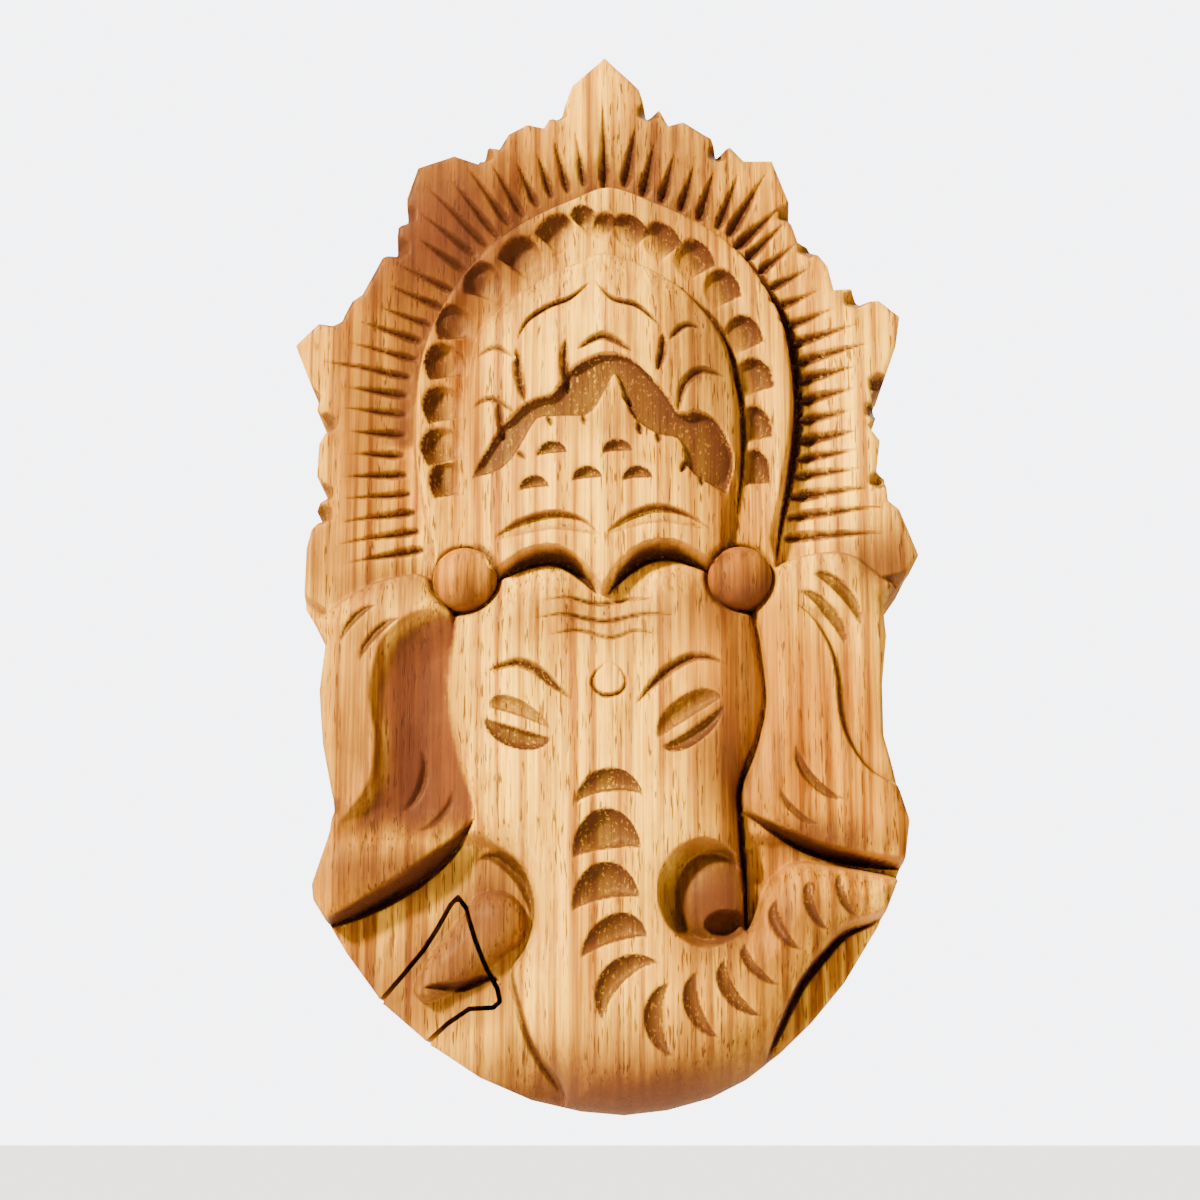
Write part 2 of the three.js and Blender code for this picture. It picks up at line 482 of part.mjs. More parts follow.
function mesh(name, part, material) {
  const { numProp, vertProperties, triVerts } = mainPiece(part).getMesh();
  const positions = new Float32Array((vertProperties.length / numProp) * 3);
  for (let i = 0; i < positions.length / 3; i += 1) {
    positions.set(vertProperties.subarray(i * numProp, i * numProp + 3), 3 * i);
  }
  const geometry = new THREE.BufferGeometry();
  geometry.setAttribute('position', new THREE.BufferAttribute(positions, 3));
  geometry.setIndex(new THREE.BufferAttribute(new Uint32Array(triVerts), 1));
  geometry.computeVertexNormals();
  const result = new THREE.Mesh(geometry, material);
  result.name = name;
  return result;
}

const box = new THREE.Group();
box.rotation.x = Math.PI / 2;
box.add(
  mesh('body', body(), wood(0xb07f45)),
  mesh('lid', lidSolid, wood(0xc3914e)),
  mesh('key', keySolid, wood(0xb9843f)),
  mesh('pivot_screw', pivotScrew(), steel.clone()),
  mesh('pivot_washer', pivotWasher(), steel.clone()),
  mesh('button_left', button(...BUTTONS.left), wood(0xb27a36)),
  mesh('button_right', button(...BUTTONS.right), wood(0xb27a36)),
);

const assembly = new THREE.Group();
assembly.add(box);
export default assembly;
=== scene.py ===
# %% [markdown]
# # A carved wooden mask box
#
# The box is two layers of one golden, open-grained hardwood. The back layer is hollowed, and the
# front layer is a lid carved in relief: an elephant-headed face with a halo of rays. This lesson
# carves the lid the way a carver does. The board is sawn to its outline, the forms are bosted in,
# each hollow is cut with a gouge or a parting tool, and the saw then frees the key.
#
# Sizes are in millimetres until a mesh is made. X runs right and Z up, seen from the front. The
# number called height is how far a point stands out from the flat back, which lies at y = 0.

# %% The frame
import math

import bpy
import numpy as np
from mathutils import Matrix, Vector


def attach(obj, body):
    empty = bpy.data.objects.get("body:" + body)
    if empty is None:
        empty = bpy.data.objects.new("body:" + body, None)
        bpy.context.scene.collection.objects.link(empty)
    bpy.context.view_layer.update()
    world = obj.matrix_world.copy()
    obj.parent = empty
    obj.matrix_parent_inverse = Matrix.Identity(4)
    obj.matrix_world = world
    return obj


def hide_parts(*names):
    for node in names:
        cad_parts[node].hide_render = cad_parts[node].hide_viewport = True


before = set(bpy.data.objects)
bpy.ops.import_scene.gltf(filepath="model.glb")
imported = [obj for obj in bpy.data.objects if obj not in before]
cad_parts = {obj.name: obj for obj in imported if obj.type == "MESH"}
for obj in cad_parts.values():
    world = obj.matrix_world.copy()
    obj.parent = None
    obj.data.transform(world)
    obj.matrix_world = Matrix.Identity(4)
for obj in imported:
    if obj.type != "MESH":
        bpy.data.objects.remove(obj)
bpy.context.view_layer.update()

STEP = 0.25
LID_BACK, HALO, GROUND = 20.3, 34.0, 31.0
KERF = 0.8
print("frame nodes:", sorted(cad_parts))

# %% [markdown]
# ## The board
#
# The relief is a height at every point of a fine grid over the board. Outlines are drawn as a few
# points and smoothed by a curve through them, as a carver draws on the wood with a pencil.

# %% Drawing on the board
xs = np.arange(-54, 54 + STEP, STEP)
zs = np.arange(-92, 92 + STEP, STEP)
X, Z = np.meshgrid(xs, zs)


def smooth(points, closed=True, spacing=0.8):
    """A curve through the points, as a list of close points."""
    p = np.array(points, float)
    n = len(p)
    spans = n if closed else n - 1
    out = []
    for i in range(spans):
        a, b, c, d = (p[(i + k) % n] if closed else p[min(max(i + k, 0), n - 1)] for k in (-1, 0, 1, 2))
        steps = max(2, int(np.hypot(*(c - b)) / spacing))
        for t in np.arange(steps) / steps:
            out.append(0.5 * (2 * b + (c - a) * t + (2 * a - 5 * b + 4 * c - d) * t**2
                              + (3 * b - a - 3 * c + d) * t**3))
    if not closed:
        out.append(p[-1])
    return np.array(out)


def window(points, margin):
    """The part of the grid near the points, as two slices."""
    lo, hi = points.min(0) - margin, points.max(0) + margin
    cols = slice(max(0, int((lo[0] - xs[0]) / STEP)), int((hi[0] - xs[0]) / STEP) + 2)
    rows = slice(max(0, int((lo[1] - zs[0]) / STEP)), int((hi[1] - zs[0]) / STEP) + 2)
    return rows, cols


def distance(points, closed, x, z):
    """How far each (x, z) is from the line through the points."""
    best = np.full(x.shape, 1e9)
    ends = np.roll(points, -1, 0) if closed else points[1:]
    for (ax, az), (bx, bz) in zip(points, ends):
        ux, uz = bx - ax, bz - az
        t = np.clip(((x - ax) * ux + (z - az) * uz) / max(ux * ux + uz * uz, 1e-9), 0, 1)
        best = np.minimum(best, (x - ax - t * ux) ** 2 + (z - az - t * uz) ** 2)
    return np.sqrt(best)


def inside(points, x, z):
    odd = np.zeros(x.shape, bool)
    for (ax, az), (bx, bz) in zip(points, np.roll(points, -1, 0)):
        if az != bz:
            crosses = (az > z) != (bz > z)
            odd ^= crosses & (x < (bx - ax) * (z - az) / (bz - az) + ax)
    return odd


def depth_in(points, x=X, z=Z):
    """How far inside the closed outline each point is; negative outside it."""
    return np.where(inside(points, x, z), 1, -1) * distance(points, True, x, z)


def ease(low, high, value):
    t = np.clip((value - low) / (high - low), 0, 1)
    return t * t * (3 - 2 * t)


print("board grid:", X.shape)

# %% [markdown]
# ## Saw lines and forms
#
# The rim is sawn with small steps that stand for the flames of the halo. Inside it lie the ring,
# the domed crown, the head with its trunk, and the ears.

# %% Outlines drawn on the wood
RIM = np.array([
    [0, 90], [6, 84], [7.2, 79.7], [9.4, 80.3], [11, 77.2], [13.6, 77.9], [18.4, 74.8], [19.2, 72.2],
    [21.6, 73.2], [24, 70.6], [28.8, 70.6], [31.6, 63], [31.8, 59.6], [33, 56], [34.8, 55.6],
    [38, 51.4], [39, 47.2], [42, 47.3], [43.4, 44.9], [46.6, 45.1], [50, 42.2], [49.2, 37],
    [46.9, 30.6], [44.6, 28.6], [45.7, 24.6], [44, 23.2], [46.1, 20.4], [45.4, 15.1], [46.8, 14],
    [47.2, 10], [49, 8.5], [52, 0.6], [49.2, -3.4], [45.8, -7.8], [46.3, -13], [45.4, -21],
    [45.4, -29.5], [47.4, -37.5], [49.2, -43.5], [48.4, -49.4], [44, -60.3], [38.4, -69.3],
    [33, -75.6], [28, -80.4], [22.4, -84.6], [17, -87.3], [10, -89.2], [3, -90], [-4, -89.4],
    [-12, -87.6], [-20, -84.2], [-28, -79], [-35.6, -72.6], [-41.5, -64.8], [-46.9, -56.2],
    [-47.2, -53.8], [-44.4, -45], [-44.1, -40], [-46, -31], [-46.8, -22], [-46, -14.6],
    [-47.6, -11.4], [-49.8, -7.8], [-49.6, 2], [-48.9, 5.2], [-46.6, 7.7], [-48.2, 8.7],
    [-46.5, 11.7], [-48.2, 14.4], [-48, 20], [-46.2, 23.6], [-48.5, 26], [-48, 29], [-49.6, 30.4],
    [-52.4, 37.4], [-48.6, 41.4], [-44.6, 42], [-43, 45.4], [-41.3, 46.6], [-38, 53.2],
    [-35.8, 54.2], [-35.4, 58.6], [-34, 60], [-34, 64], [-32.2, 69.6], [-26, 71.8], [-21.8, 70.3],
    [-20.2, 73.5], [-18.2, 73], [-16.6, 75.8], [-13.4, 77.6], [-10.5, 76.9], [-9, 79.7],
    [-7.4, 79.8], [-5.6, 84.8],
])
RING_OUTER = smooth([
    [0.8, 65.2], [9, 62.2], [17.6, 57.8], [24.3, 51.7], [29.6, 42.5], [31.3, 34.5], [31.7, 25],
    [30.1, 14], [28, 4], [26, -4], [0, -8], [-26, -4], [-28.4, 1], [-29.9, 7.1], [-31.6, 15],
    [-32.2, 23], [-31.6, 31], [-30, 38.5], [-26.5, 45.9], [-21, 53.3], [-14.2, 58.7], [-6, 62.8],
])
RING_INNER = smooth([
    [0, 60], [7, 57.4], [13.5, 54.4], [19.2, 50], [23.6, 43.8], [26.8, 36], [28.4, 28],
    [28.2, 18], [27, 8], [24, -3], [-24, -3], [-27.4, 8], [-28.9, 16], [-29.2, 25], [-28.2, 34],
    [-23.9, 44.6], [-17.9, 51.4], [-12, 55.8], [-6, 58.8],
])
CROWN_SIDE = smooth([
    [-20.6, -4], [-22, 2], [-22.4, 9], [-22.8, 16], [-23, 25], [-22.6, 32.5], [-21, 39],
    [-16.5, 44.5], [-10, 48.8], [-4.5, 51.3], [0, 53], [6.4, 50.8], [12.6, 47], [17.4, 41.8],
    [20.4, 36.5], [22, 30], [22.6, 22.8], [22.3, 14.5], [21, 8], [20.4, 2], [20, -3],
], closed=False)
BAND_EDGE = np.vstack([
    smooth([[20, -3], [17.1, -1.8], [11.7, 0.8], [6.9, 0.5], [3, -2.4], [0, -6.8]], closed=False),
    smooth([[-0.4, -6.8], [-3.7, -2.8], [-7.6, -0.1], [-12.4, -0.4], [-16.8, -2.8], [-20.6, -4]],
           closed=False),
])
CROWN = np.vstack([CROWN_SIDE, BAND_EDGE])
HEAD = smooth([
    [-20, 3], [0, 3], [20, 3], [24, -8], [25.4, -17], [26, -24], [24.6, -31], [22, -37.6],
    [21.5, -41], [22, -48], [22.4, -55], [22.6, -61], [24.6, -57], [27.5, -52], [31.3, -50],
    [38, -50.8], [47, -52.6], [54, -56], [44, -59.4], [38.8, -61.2], [35, -64.7], [31.8, -68.9],
    [29.5, -73.4], [27, -79], [25, -86], [20, -98], [-8, -98], [-7, -87], [-10.8, -81],
    [-13.4, -75], [-15.4, -68.6], [-12.8, -63.5], [-11.6, -58.8], [-13, -53], [-17.4, -48.8],
    [-19.8, -46.4], [-21.2, -40.7], [-23.6, -34], [-25.4, -25], [-25.3, -16], [-24.4, -8],
])
LEFT_EAR = smooth([
    [-48, -10.4], [-43.6, -7.2], [-39.3, -4.5], [-34.5, -2.8], [-29.5, -2.8], [-24.6, -9.5],
    [-25.4, -17.6], [-25.4, -25], [-23.6, -34], [-21.4, -42.6], [-26.6, -50], [-34.5, -55.2],
    [-48, -60.4], [-56, -50], [-53, -30], [-54, -14],
])
RIGHT_EAR = smooth([
    [28, -1.6], [31.5, 0.2], [36, 1], [41, 0.4], [45.4, -3], [54, -10], [54, -30], [56, -52],
    [48, -51], [37, -49], [31, -46.8], [21.8, -41.6], [24.6, -31], [26, -24], [25.3, -15],
    [24.2, -7],
])
LEFT_FOLD = smooth([
    [-26.6, -8.4], [-30, -9.6], [-33.1, -11.3], [-36.3, -14.8], [-38, -21.5], [-37.8, -26.6],
    [-37, -30.6], [-37.6, -37], [-39.7, -41], [-43.6, -45.2],
], closed=False)
RIGHT_FOLD = smooth([
    [30.6, -8.6], [33.6, -10.5], [36.6, -15.3], [37.8, -20.5], [38.2, -26.4], [39.5, -31],
    [42.6, -35.8], [47.6, -38.4],
], closed=False)
KEY = np.array([
    [-36.2, -72.4], [-32.3, -67.8], [-29.2, -64], [-26.9, -60.3], [-25, -56.8], [-23.8, -55.6],
    [-22.4, -57.4], [-20.7, -62.7], [-19, -67.1], [-17.3, -70.2], [-16.9, -72.2], [-17.9, -73.2],
    [-21.8, -73.4], [-25.2, -75.7], [-29.4, -79.6], [-36, -84], [-42, -76],
])
print("outlines:", len(RIM), "rim points,", len(HEAD), "head points")

# %% [markdown]
# ## Bosting in
#
# Each form is raised from the ground. Its wall is nearly upright, its shoulder is rounded, and its
# top swells towards the middle.

# %% The large forms
# Heights of the shoulders, and how much more each form swells towards its middle.
RIGHT_EAR_EDGE, LEFT_EAR_EDGE, EAR_SWELL = 35.2, 35.0, 3.2
RING_EDGE, RING_SWELL = 36.0, 1.0
HEAD_EDGE, HEAD_SWELL = 34.2, 5.6
CROWN_EDGE, CROWN_SWELL = 36.6, 5.2
# How deep the dished parts are.
HALO_DISH, BROW_HOLLOW, FOOT_ROLL = 2.4, 2.8, 6.5

in_rim = depth_in(RIM)
relief = np.full(X.shape, GROUND)


def raise_form(depth, edge, swell, reach, wall=0.7):
    """Raises the relief inside a form: edge is the height at its shoulder."""
    dome = edge + swell * np.sqrt(1 - (1 - np.clip(depth / reach, 0, 1)) ** 2)
    lift = np.clip(depth / wall, 0, 1) ** 0.8
    return np.where(depth > 0, np.maximum(relief + (dome - relief) * lift, 0), relief)


ring_depth = depth_in(RING_OUTER)
halo_foot = ease(-9, -7.5, Z - np.interp(X, [-50, -44, 44, 52], [2, -2, 4, 6]))
halo = HALO - HALO_DISH * (1 - ease(0, 13, -ring_depth)) * (ring_depth < 0)
relief = relief + (halo - relief) * halo_foot

valley = ease(-31, -28, X) * ease(31, 28, X) * ease(-48, -45, Z) * ease(2, -1, Z)
relief = np.maximum(relief, GROUND + np.where(X < 18, 3.0, 2.2) * valley)
relief = raise_form(np.minimum(depth_in(RIGHT_EAR), in_rim + 0.4), RIGHT_EAR_EDGE, EAR_SWELL, 6)
relief = raise_form(np.minimum(depth_in(LEFT_EAR), in_rim + 0.4), LEFT_EAR_EDGE, EAR_SWELL, 6)

relief = raise_form(ring_depth, RING_EDGE, RING_SWELL, 1.6, wall=0.5)
to_channel = depth_in(RING_INNER)
relief = relief - (ring_depth > 0) * (0.9 * ease(-1.4, 1.2, to_channel) + 0.6 * ease(0.5, 5, to_channel))

head_depth = np.minimum(depth_in(HEAD), in_rim + 1.2)
relief = raise_form(head_depth, HEAD_EDGE, HEAD_SWELL, 11)
below_band = distance(BAND_EDGE, False, X, Z)
relief = relief - BROW_HOLLOW * (1 - ease(0, 9, below_band)) * (head_depth > 0)
rolled = ease(-58, -74, Z) * ease(-22, -6, X) * ease(34, 20, X)
relief = relief - FOOT_ROLL * rolled * (1 - np.clip(in_rim / 9, 0, 1)) ** 2

crown_depth = depth_in(CROWN)
side_depth = np.where(crown_depth > 0, distance(CROWN_SIDE, False, X, Z), -1)
crown_top = raise_form(side_depth, CROWN_EDGE, CROWN_SWELL, 17)
rise = np.clip(crown_depth / 0.5, 0, 1)
relief = np.where(crown_depth > 0, relief + (crown_top - relief) * rise, relief)
print("relief from %.1f to %.1f mm" % (relief[in_rim > 0].min(), relief[in_rim > 0].max()))

# %% [markdown]
# ## Hollowing the ears
#
# The left ear is scooped out inside its fold and leaves a rounded rim. The right ear is only
# lowered in a strip outside its fold.

# %% Ears
EAR_FLOOR_EDGE, EAR_DEPTH, FOLD_RIDGE, STRIP_DEPTH = 37.2, 3.2, 0.7, 1.7
left_fold_x = np.interp(Z, LEFT_FOLD[::-1, 1], LEFT_FOLD[::-1, 0])
from_fold = distance(LEFT_FOLD, False, X, Z)
in_ear = ease(-0.2, 0.9, X - left_fold_x) * (depth_in(LEFT_EAR) > 0)
in_ear = in_ear * ease(-50, -41, Z) * ease(-8.2, -11, Z)
floor_of_ear = EAR_FLOOR_EDGE - EAR_DEPTH * ease(-1, 8, from_fold)
relief = relief + (np.minimum(relief, floor_of_ear) - relief) * in_ear
relief = relief + FOLD_RIDGE * np.exp(-(from_fold / 1.3) ** 2) * ease(-50, -44, Z) * (depth_in(LEFT_EAR) > 0)

right_fold_x = np.interp(Z, RIGHT_FOLD[::-1, 1], RIGHT_FOLD[::-1, 0])
beyond_fold = X - right_fold_x
strip = ease(-8.4, -11, Z) * (Z > -39) * (depth_in(RIGHT_EAR) > 0)
relief = relief - STRIP_DEPTH * strip * ease(0, 0.5, beyond_fold) * (1 - 0.7 * ease(0, 7, beyond_fold))
print("left ear's floor lies %.1f mm up" % floor_of_ear.min())

# %% [markdown]
# ## Trunk and tusks
#
# A round hollow is sunk on each side of the trunk. The left one holds the root of the whole tusk,
# which tapers down and outwards across the key. The right one holds the broken stub with its socket.

# %% Tusks
HOLLOW_FLOOR, HOLLOW_LIP = 31.8, 39.5
TUSK_HEIGHT, TUSK_LENGTH = 4.2, 17


def ball(cx, cz, radius, base, rise, squash=1.0):
    r = np.hypot(X - cx, (Z - cz) / squash) / radius
    return base + rise * np.sqrt(np.clip(1 - r * r, 0, 1)), r < 1


def hollow(cx, cz, radius, floor, stretch=1.0, right=99):
    """Scoops a round hollow whose floor is at the given height."""
    global relief
    r = np.hypot(X - cx, (Z - cz) / stretch) / radius
    bowl = floor + (HOLLOW_LIP - floor) * np.clip(r, 0, 2) ** 7
    relief = np.where((r < 1.25) & (X < right), np.minimum(relief, bowl), relief)


hollow(-17.4, -57.6, 7.0, 31.6, 1.3)
hollow(16.2, -55.6, 7.7, HOLLOW_FLOOR, 1.12, 22.6)
tusk_root, near_root = ball(-17.8, -59.8, 5.0, 32.0, 4.4)
relief = np.where(near_root, np.maximum(relief, tusk_root), relief)
along = (X + 17.8) * -0.72 + (Z + 60) * -0.69
across = (X + 17.8) * -0.69 - (Z + 60) * -0.72
half_width = 4.6 * np.sqrt(np.clip(1 - (along / TUSK_LENGTH) ** 1.6 * (along > 0), 0, 1))
from_axis = across / np.maximum(half_width, 0.01)
tusk = HOLLOW_FLOOR + TUSK_HEIGHT * (1 - 0.4 * along / TUSK_LENGTH) * np.sqrt(np.clip(1 - from_axis**2, 0, 1))
on_tusk = (along > 0) & (along < 16.6) & (np.abs(across) < half_width)
relief = np.where(on_tusk, np.maximum(relief, tusk), relief)
stub, near_stub = ball(17.6, -56.0, 6.2, HOLLOW_FLOOR, 4.4, 1.25)
on_stub = near_stub & (X < 22.4)
relief = np.where(on_stub, np.maximum(relief, stub), relief)
socket, near_socket = ball(19.6, -60.4, 3.6, 0, 3.4, 0.6)
relief = np.where(near_socket & (X < 22.2), relief - socket, relief)
print("tusk covers %d grid points, stub %d" % (on_tusk.sum(), on_stub.sum()))

# %% [markdown]
# ## Gouge cuts
#
# A thumbnail cut starts at nothing on one line and slopes down to a steep riser at another. The
# rings of the trunk, the eyes, the scoops round the crown and its wavy band are all cut this way.

# %% A thumbnail cut
# Cut floors are darkened by how deep they go: partly stain that gathers there, partly painted shade.
stain = np.zeros(X.shape)


def blurred(grid):
    """Each value averaged with its neighbours, to ease the tool marks."""
    for axis in (0, 1):
        grid = 0.5 * grid + 0.25 * (np.roll(grid, 1, axis) + np.roll(grid, -1, axis))
    return grid


def arch(left, top, right, flat=1.0, count=13):
    """Half an ellipse from left to right over the top, or a flatter one under it."""
    left, top, right = (np.array(p, float) for p in (left, top, right))
    middle, half = (left + right) / 2, (right - left) / 2
    turn = np.linspace(-math.pi / 2, math.pi / 2, count)[:, None]
    return middle + half * np.sin(turn) + (top - middle) * flat * np.cos(turn)


def chip(start, riser, steep=0.9, lip=0.45, deepest=2.3, tone=1.0, entry=0.8, fade=None):
    """Scoops out what lies between two lines: deep near the riser, and nothing at its ends.

    fade is a pair of points: the cut and its colour grow weaker from the first to the second.
    """
    global relief
    outline = np.vstack([start, riser[::-1]])
    at = window(outline, 1)
    x, z = X[at], Z[at]
    from_start, from_riser = distance(start, False, x, z), distance(riser, False, x, z)
    span = from_start + from_riser + 1e-6
    s = from_start / span
    cut = np.minimum(steep * span * s**entry * (1 - s) ** lip, deepest) * inside(outline, x, z)
    # Painted shade and stain: the floor grows darker with the depth of the cut.
    colour = tone * np.clip(cut / 0.25, 0, 1) * (1 - 0.15 * s)
    if fade is not None:
        (ax, az), (bx, bz) = fade
        t = ((x - ax) * (bx - ax) + (z - az) * (bz - az)) / ((bx - ax) ** 2 + (bz - az) ** 2)
        cut = cut * (1 - 0.45 * ease(0.2, 1, t))
        colour = colour * (1 - 0.8 * ease(0.3, 0.9, t))
    relief[at] -= cut
    stain[at] = np.maximum(stain[at], colour)


print("gouge ready")

# %% [markdown]
# ## Cuts down the trunk and on the crown
#
# Each ring of the trunk is one cut with its riser at the top. Between the rings the wood is left
# as a band. Five small nicks of the same kind lie below the crown's wavy band.

# %% Trunk rings and nicks
TRUNK_RINGS = [
    ([-4.8, -42.4], [0.3, -35.7], [6.4, -41.0], 0.36),
    ([-5.2, -50.6], [-0.3, -42.2], [6.0, -49.0], 0.14),
    ([-5.3, -59.2], [-0.6, -50.8], [5.8, -57.0], 0.2),
    ([-3.9, -66.6], [1.2, -59.0], [6.9, -63.2], 0.24),
    ([0.2, -76.4], [0.2, -67.2], [9.2, -67.2], 0.42),
    ([10.9, -69.6], [6.0, -75.4], [11.2, -81.3], 0.4),
    ([15.1, -67.8], [12.4, -74.0], [18.5, -78.3], 0.4),
    ([19.4, -65.9], [18.3, -71.8], [25.3, -74.8], 0.42),
    ([22.6, -63.2], [22.4, -67.8], [28.2, -70.0], 0.45),
    ([27.8, -56.3], [26.3, -61.4], [31.8, -64.6], 0.42),
    ([32.9, -53.4], [31.6, -58.3], [36.1, -61.4], 0.42),
    ([38.0, -52.0], [36.7, -56.3], [40.5, -59.2], 0.42),
]
# The broken stub is darker: its stippled wood, and painted shade where it sits in its hollow.
stain = np.maximum(stain, 0.55 * on_stub)
for left, top, right, flat in TRUNK_RINGS:
    chip(arch(left, top, right), arch(left, top, right, flat), 1.0)

for x, z in [(-8.5, 17.9), (2.2, 18.2), (-11.4, 12.1), (-2.7, 13.6), (5.5, 13.6)]:
    left, top, right = (x - 2.7, z - 2.7), (x - 0.3, z + 0.3), (x + 2.6, z - 2.2)
    chip(arch(left, top, right), arch(left, top, right, 0.25), 1.5)

print("trunk rings:", len(TRUNK_RINGS))

# %% [markdown]
# ## Scoops round the crown
#
# The channel inside the ring is a chain of D-shaped scoops. Each has its flat side down and its
# round side up, is deepest at the outer end and fades towards the crown.

# %% Scoops
SCOOPS = [
    ([-6.2, 59.4], [-2.6, 55.8]), ([-12.2, 56.2], [-8.3, 52.4]), ([-18.3, 51.6], [-13.1, 47.8]),
    ([-24.0, 45.4], [-18.6, 44.0]), ([-28.0, 37.0], [-22.3, 37.2]), ([-29.3, 29.9], [-23.3, 30.9]),
    ([-29.4, 22.4], [-23.4, 23.6]), ([-29.3, 15.0], [-23.0, 16.7]), ([-28.2, 9.4], [-22.8, 10.3]),
    ([2.4, 59.0], [0.6, 55.2]), ([8.1, 56.6], [5.4, 53.2]), ([13.5, 54.2], [9.6, 51.0]),
    ([18.9, 50.2], [14.0, 47.6]), ([23.3, 44.7], [18.6, 42.6]), ([26.9, 36.6], [22.0, 34.4]),
    ([28.5, 28.8], [22.9, 26.8]), ([28.0, 20.0], [23.3, 18.9]), ([27.4, 12.0], [22.5, 11.5]),
]
for outer, inner in SCOOPS:
    outer, inner = np.array(outer), np.array(inner)
    across = inner - outer
    up = np.array([-across[1], across[0]]) * (1 if outer[0] < 0 else -1) / np.hypot(*across)
    up = up * (0.58 if abs(outer[0]) < 7 else 1)
    back = smooth([outer, outer + up * 3.8 - across * 0.06, outer + across * 0.24 + up * 6.3,
                   outer + across * 0.72 + up * 6.1, inner + across * 0.04 + up * 3.9, inner], False, 0.4)
    ridge = arch(outer, (outer + inner) / 2 + up * 0.7, inner)
    chip(back, ridge, 0.8, lip=0.14, deepest=1.9, entry=0.42, fade=(outer, inner))

print("scoops:", len(SCOOPS))

# %% [markdown]
# ## Eyes and the wavy band
#
# A closed eye is two cuts with a bar of wood left between them. The wavy band is one broad cut that
# runs across the crown.

# %% Eyes and wavy band
EYES = [
    ([-18.4, -26.2], [-14.6, -24.2], [-8.4, -29.9], [-13.2, -27.6], 0.8),
    ([-19.4, -27.4], [-14.8, -32.6], [-8.5, -30.8], [-13.9, -29.4], 1.0),
    ([8.4, -31.2], [12.2, -24.2], [18.9, -24.4], [13.3, -27.9], 0.8),
    ([9.2, -32.1], [15.0, -31.8], [19.2, -25.2], [14.5, -29.1], 1.0),
]
for left, top, right, bar, tone in EYES:
    chip(arch(left, top, right), arch(left, bar, right), 1.15, tone=tone)

BAND_TOP = smooth([
    [-22.2, 12.6], [-17.4, 20.2], [-12.8, 24.8], [-8.4, 26.4], [-5.8, 30.2], [-1.2, 33], [3.6, 32.6],
    [7.6, 29.2], [10.6, 25.4], [12.4, 22.8], [15.6, 23.4], [18.8, 21.6], [21.2, 16], [20, 9.8],
], False)
BAND_FOOT = smooth([
    [-22.2, 12.6], [-17, 14], [-14.2, 17.1], [-12, 21], [-10, 22.6], [-3, 22.8], [-0.2, 26.4],
    [1.8, 29.8], [3.4, 25.6], [5, 22.2], [8.6, 19.6], [12.6, 18.4], [14.2, 13.4], [20, 9.8],
], False)
chip(BAND_TOP, BAND_FOOT, 0.9, lip=0.16, deepest=1.7, entry=0.3)
print("eyes and band cut")

# %% [markdown]
# ## Headband and crescents
#
# The two arches of the headband are shallow cuts, and single crescents mark the folds of the ears.

# %% Headband and crescents
HEADBAND = [
    ([[-18.6, 1.4], [-14.1, 2.2], [-8.6, 3.0], [-4, 2.5], [-0.5, 1.9]],
     [[-18.6, 1.4], [-14.1, 4.5], [-8.4, 5.8], [-3.7, 4.7], [-0.5, 1.9]]),
    ([[-0.1, 2.0], [3.8, 3.1], [8.8, 4.2], [13.5, 3.8], [17.8, 3.2]],
     [[-0.1, 2.0], [3.8, 5.2], [8.6, 6.9], [13.5, 5.7], [17.8, 3.2]]),
]
CRESCENTS = [
    ([-42.8, -15.0], [-41.2, -10.4], [-37.2, -8.9], 0.35),
    ([-39.6, -18.2], [-37.8, -13.0], [-33.2, -11.2], 0.35),
    ([33.8, -3.9], [39.6, -5.6], [41.4, -12.6], 0.3), ([31.6, -6.8], [37.2, -9.0], [38.8, -15.4], 0.3),
    ([-30.5, -31.6], [-29.2, -37.6], [-33.4, -42.0], 0.55),
    ([-25.0, -38.2], [-26.0, -43.0], [-30.4, -45.2], 0.5),
    ([-21.4, -50.4], [-13.6, -50.8], [-12.4, -62.0], 0.6),
    ([31.2, -31.4], [32.6, -38.0], [38.8, -40.3], 0.5), ([28.4, -38.4], [30.0, -43.0], [34.6, -44.3], 0.5),
]
for left, top, right, flat in CRESCENTS:
    chip(arch(left, top, right, flat), arch(left, top, right), 1.1, 0.2, tone=0.9)
for floor_line, wall_line in HEADBAND:
    chip(smooth(floor_line, False), smooth(wall_line, False), 1.0, 0.2, tone=0.35)
print("crescents:", len(CRESCENTS), "headband arches:", len(HEADBAND))

# %% [markdown]
# ## Bites, seats and wear
#
# The knife has bitten small wedges out of the rim between the flames, and painted shade darkens
# them. A narrow moat is left round each temple button, darkened with painted shadow. The tool marks
# are eased a little, and the rim's edge is rounded by handling.

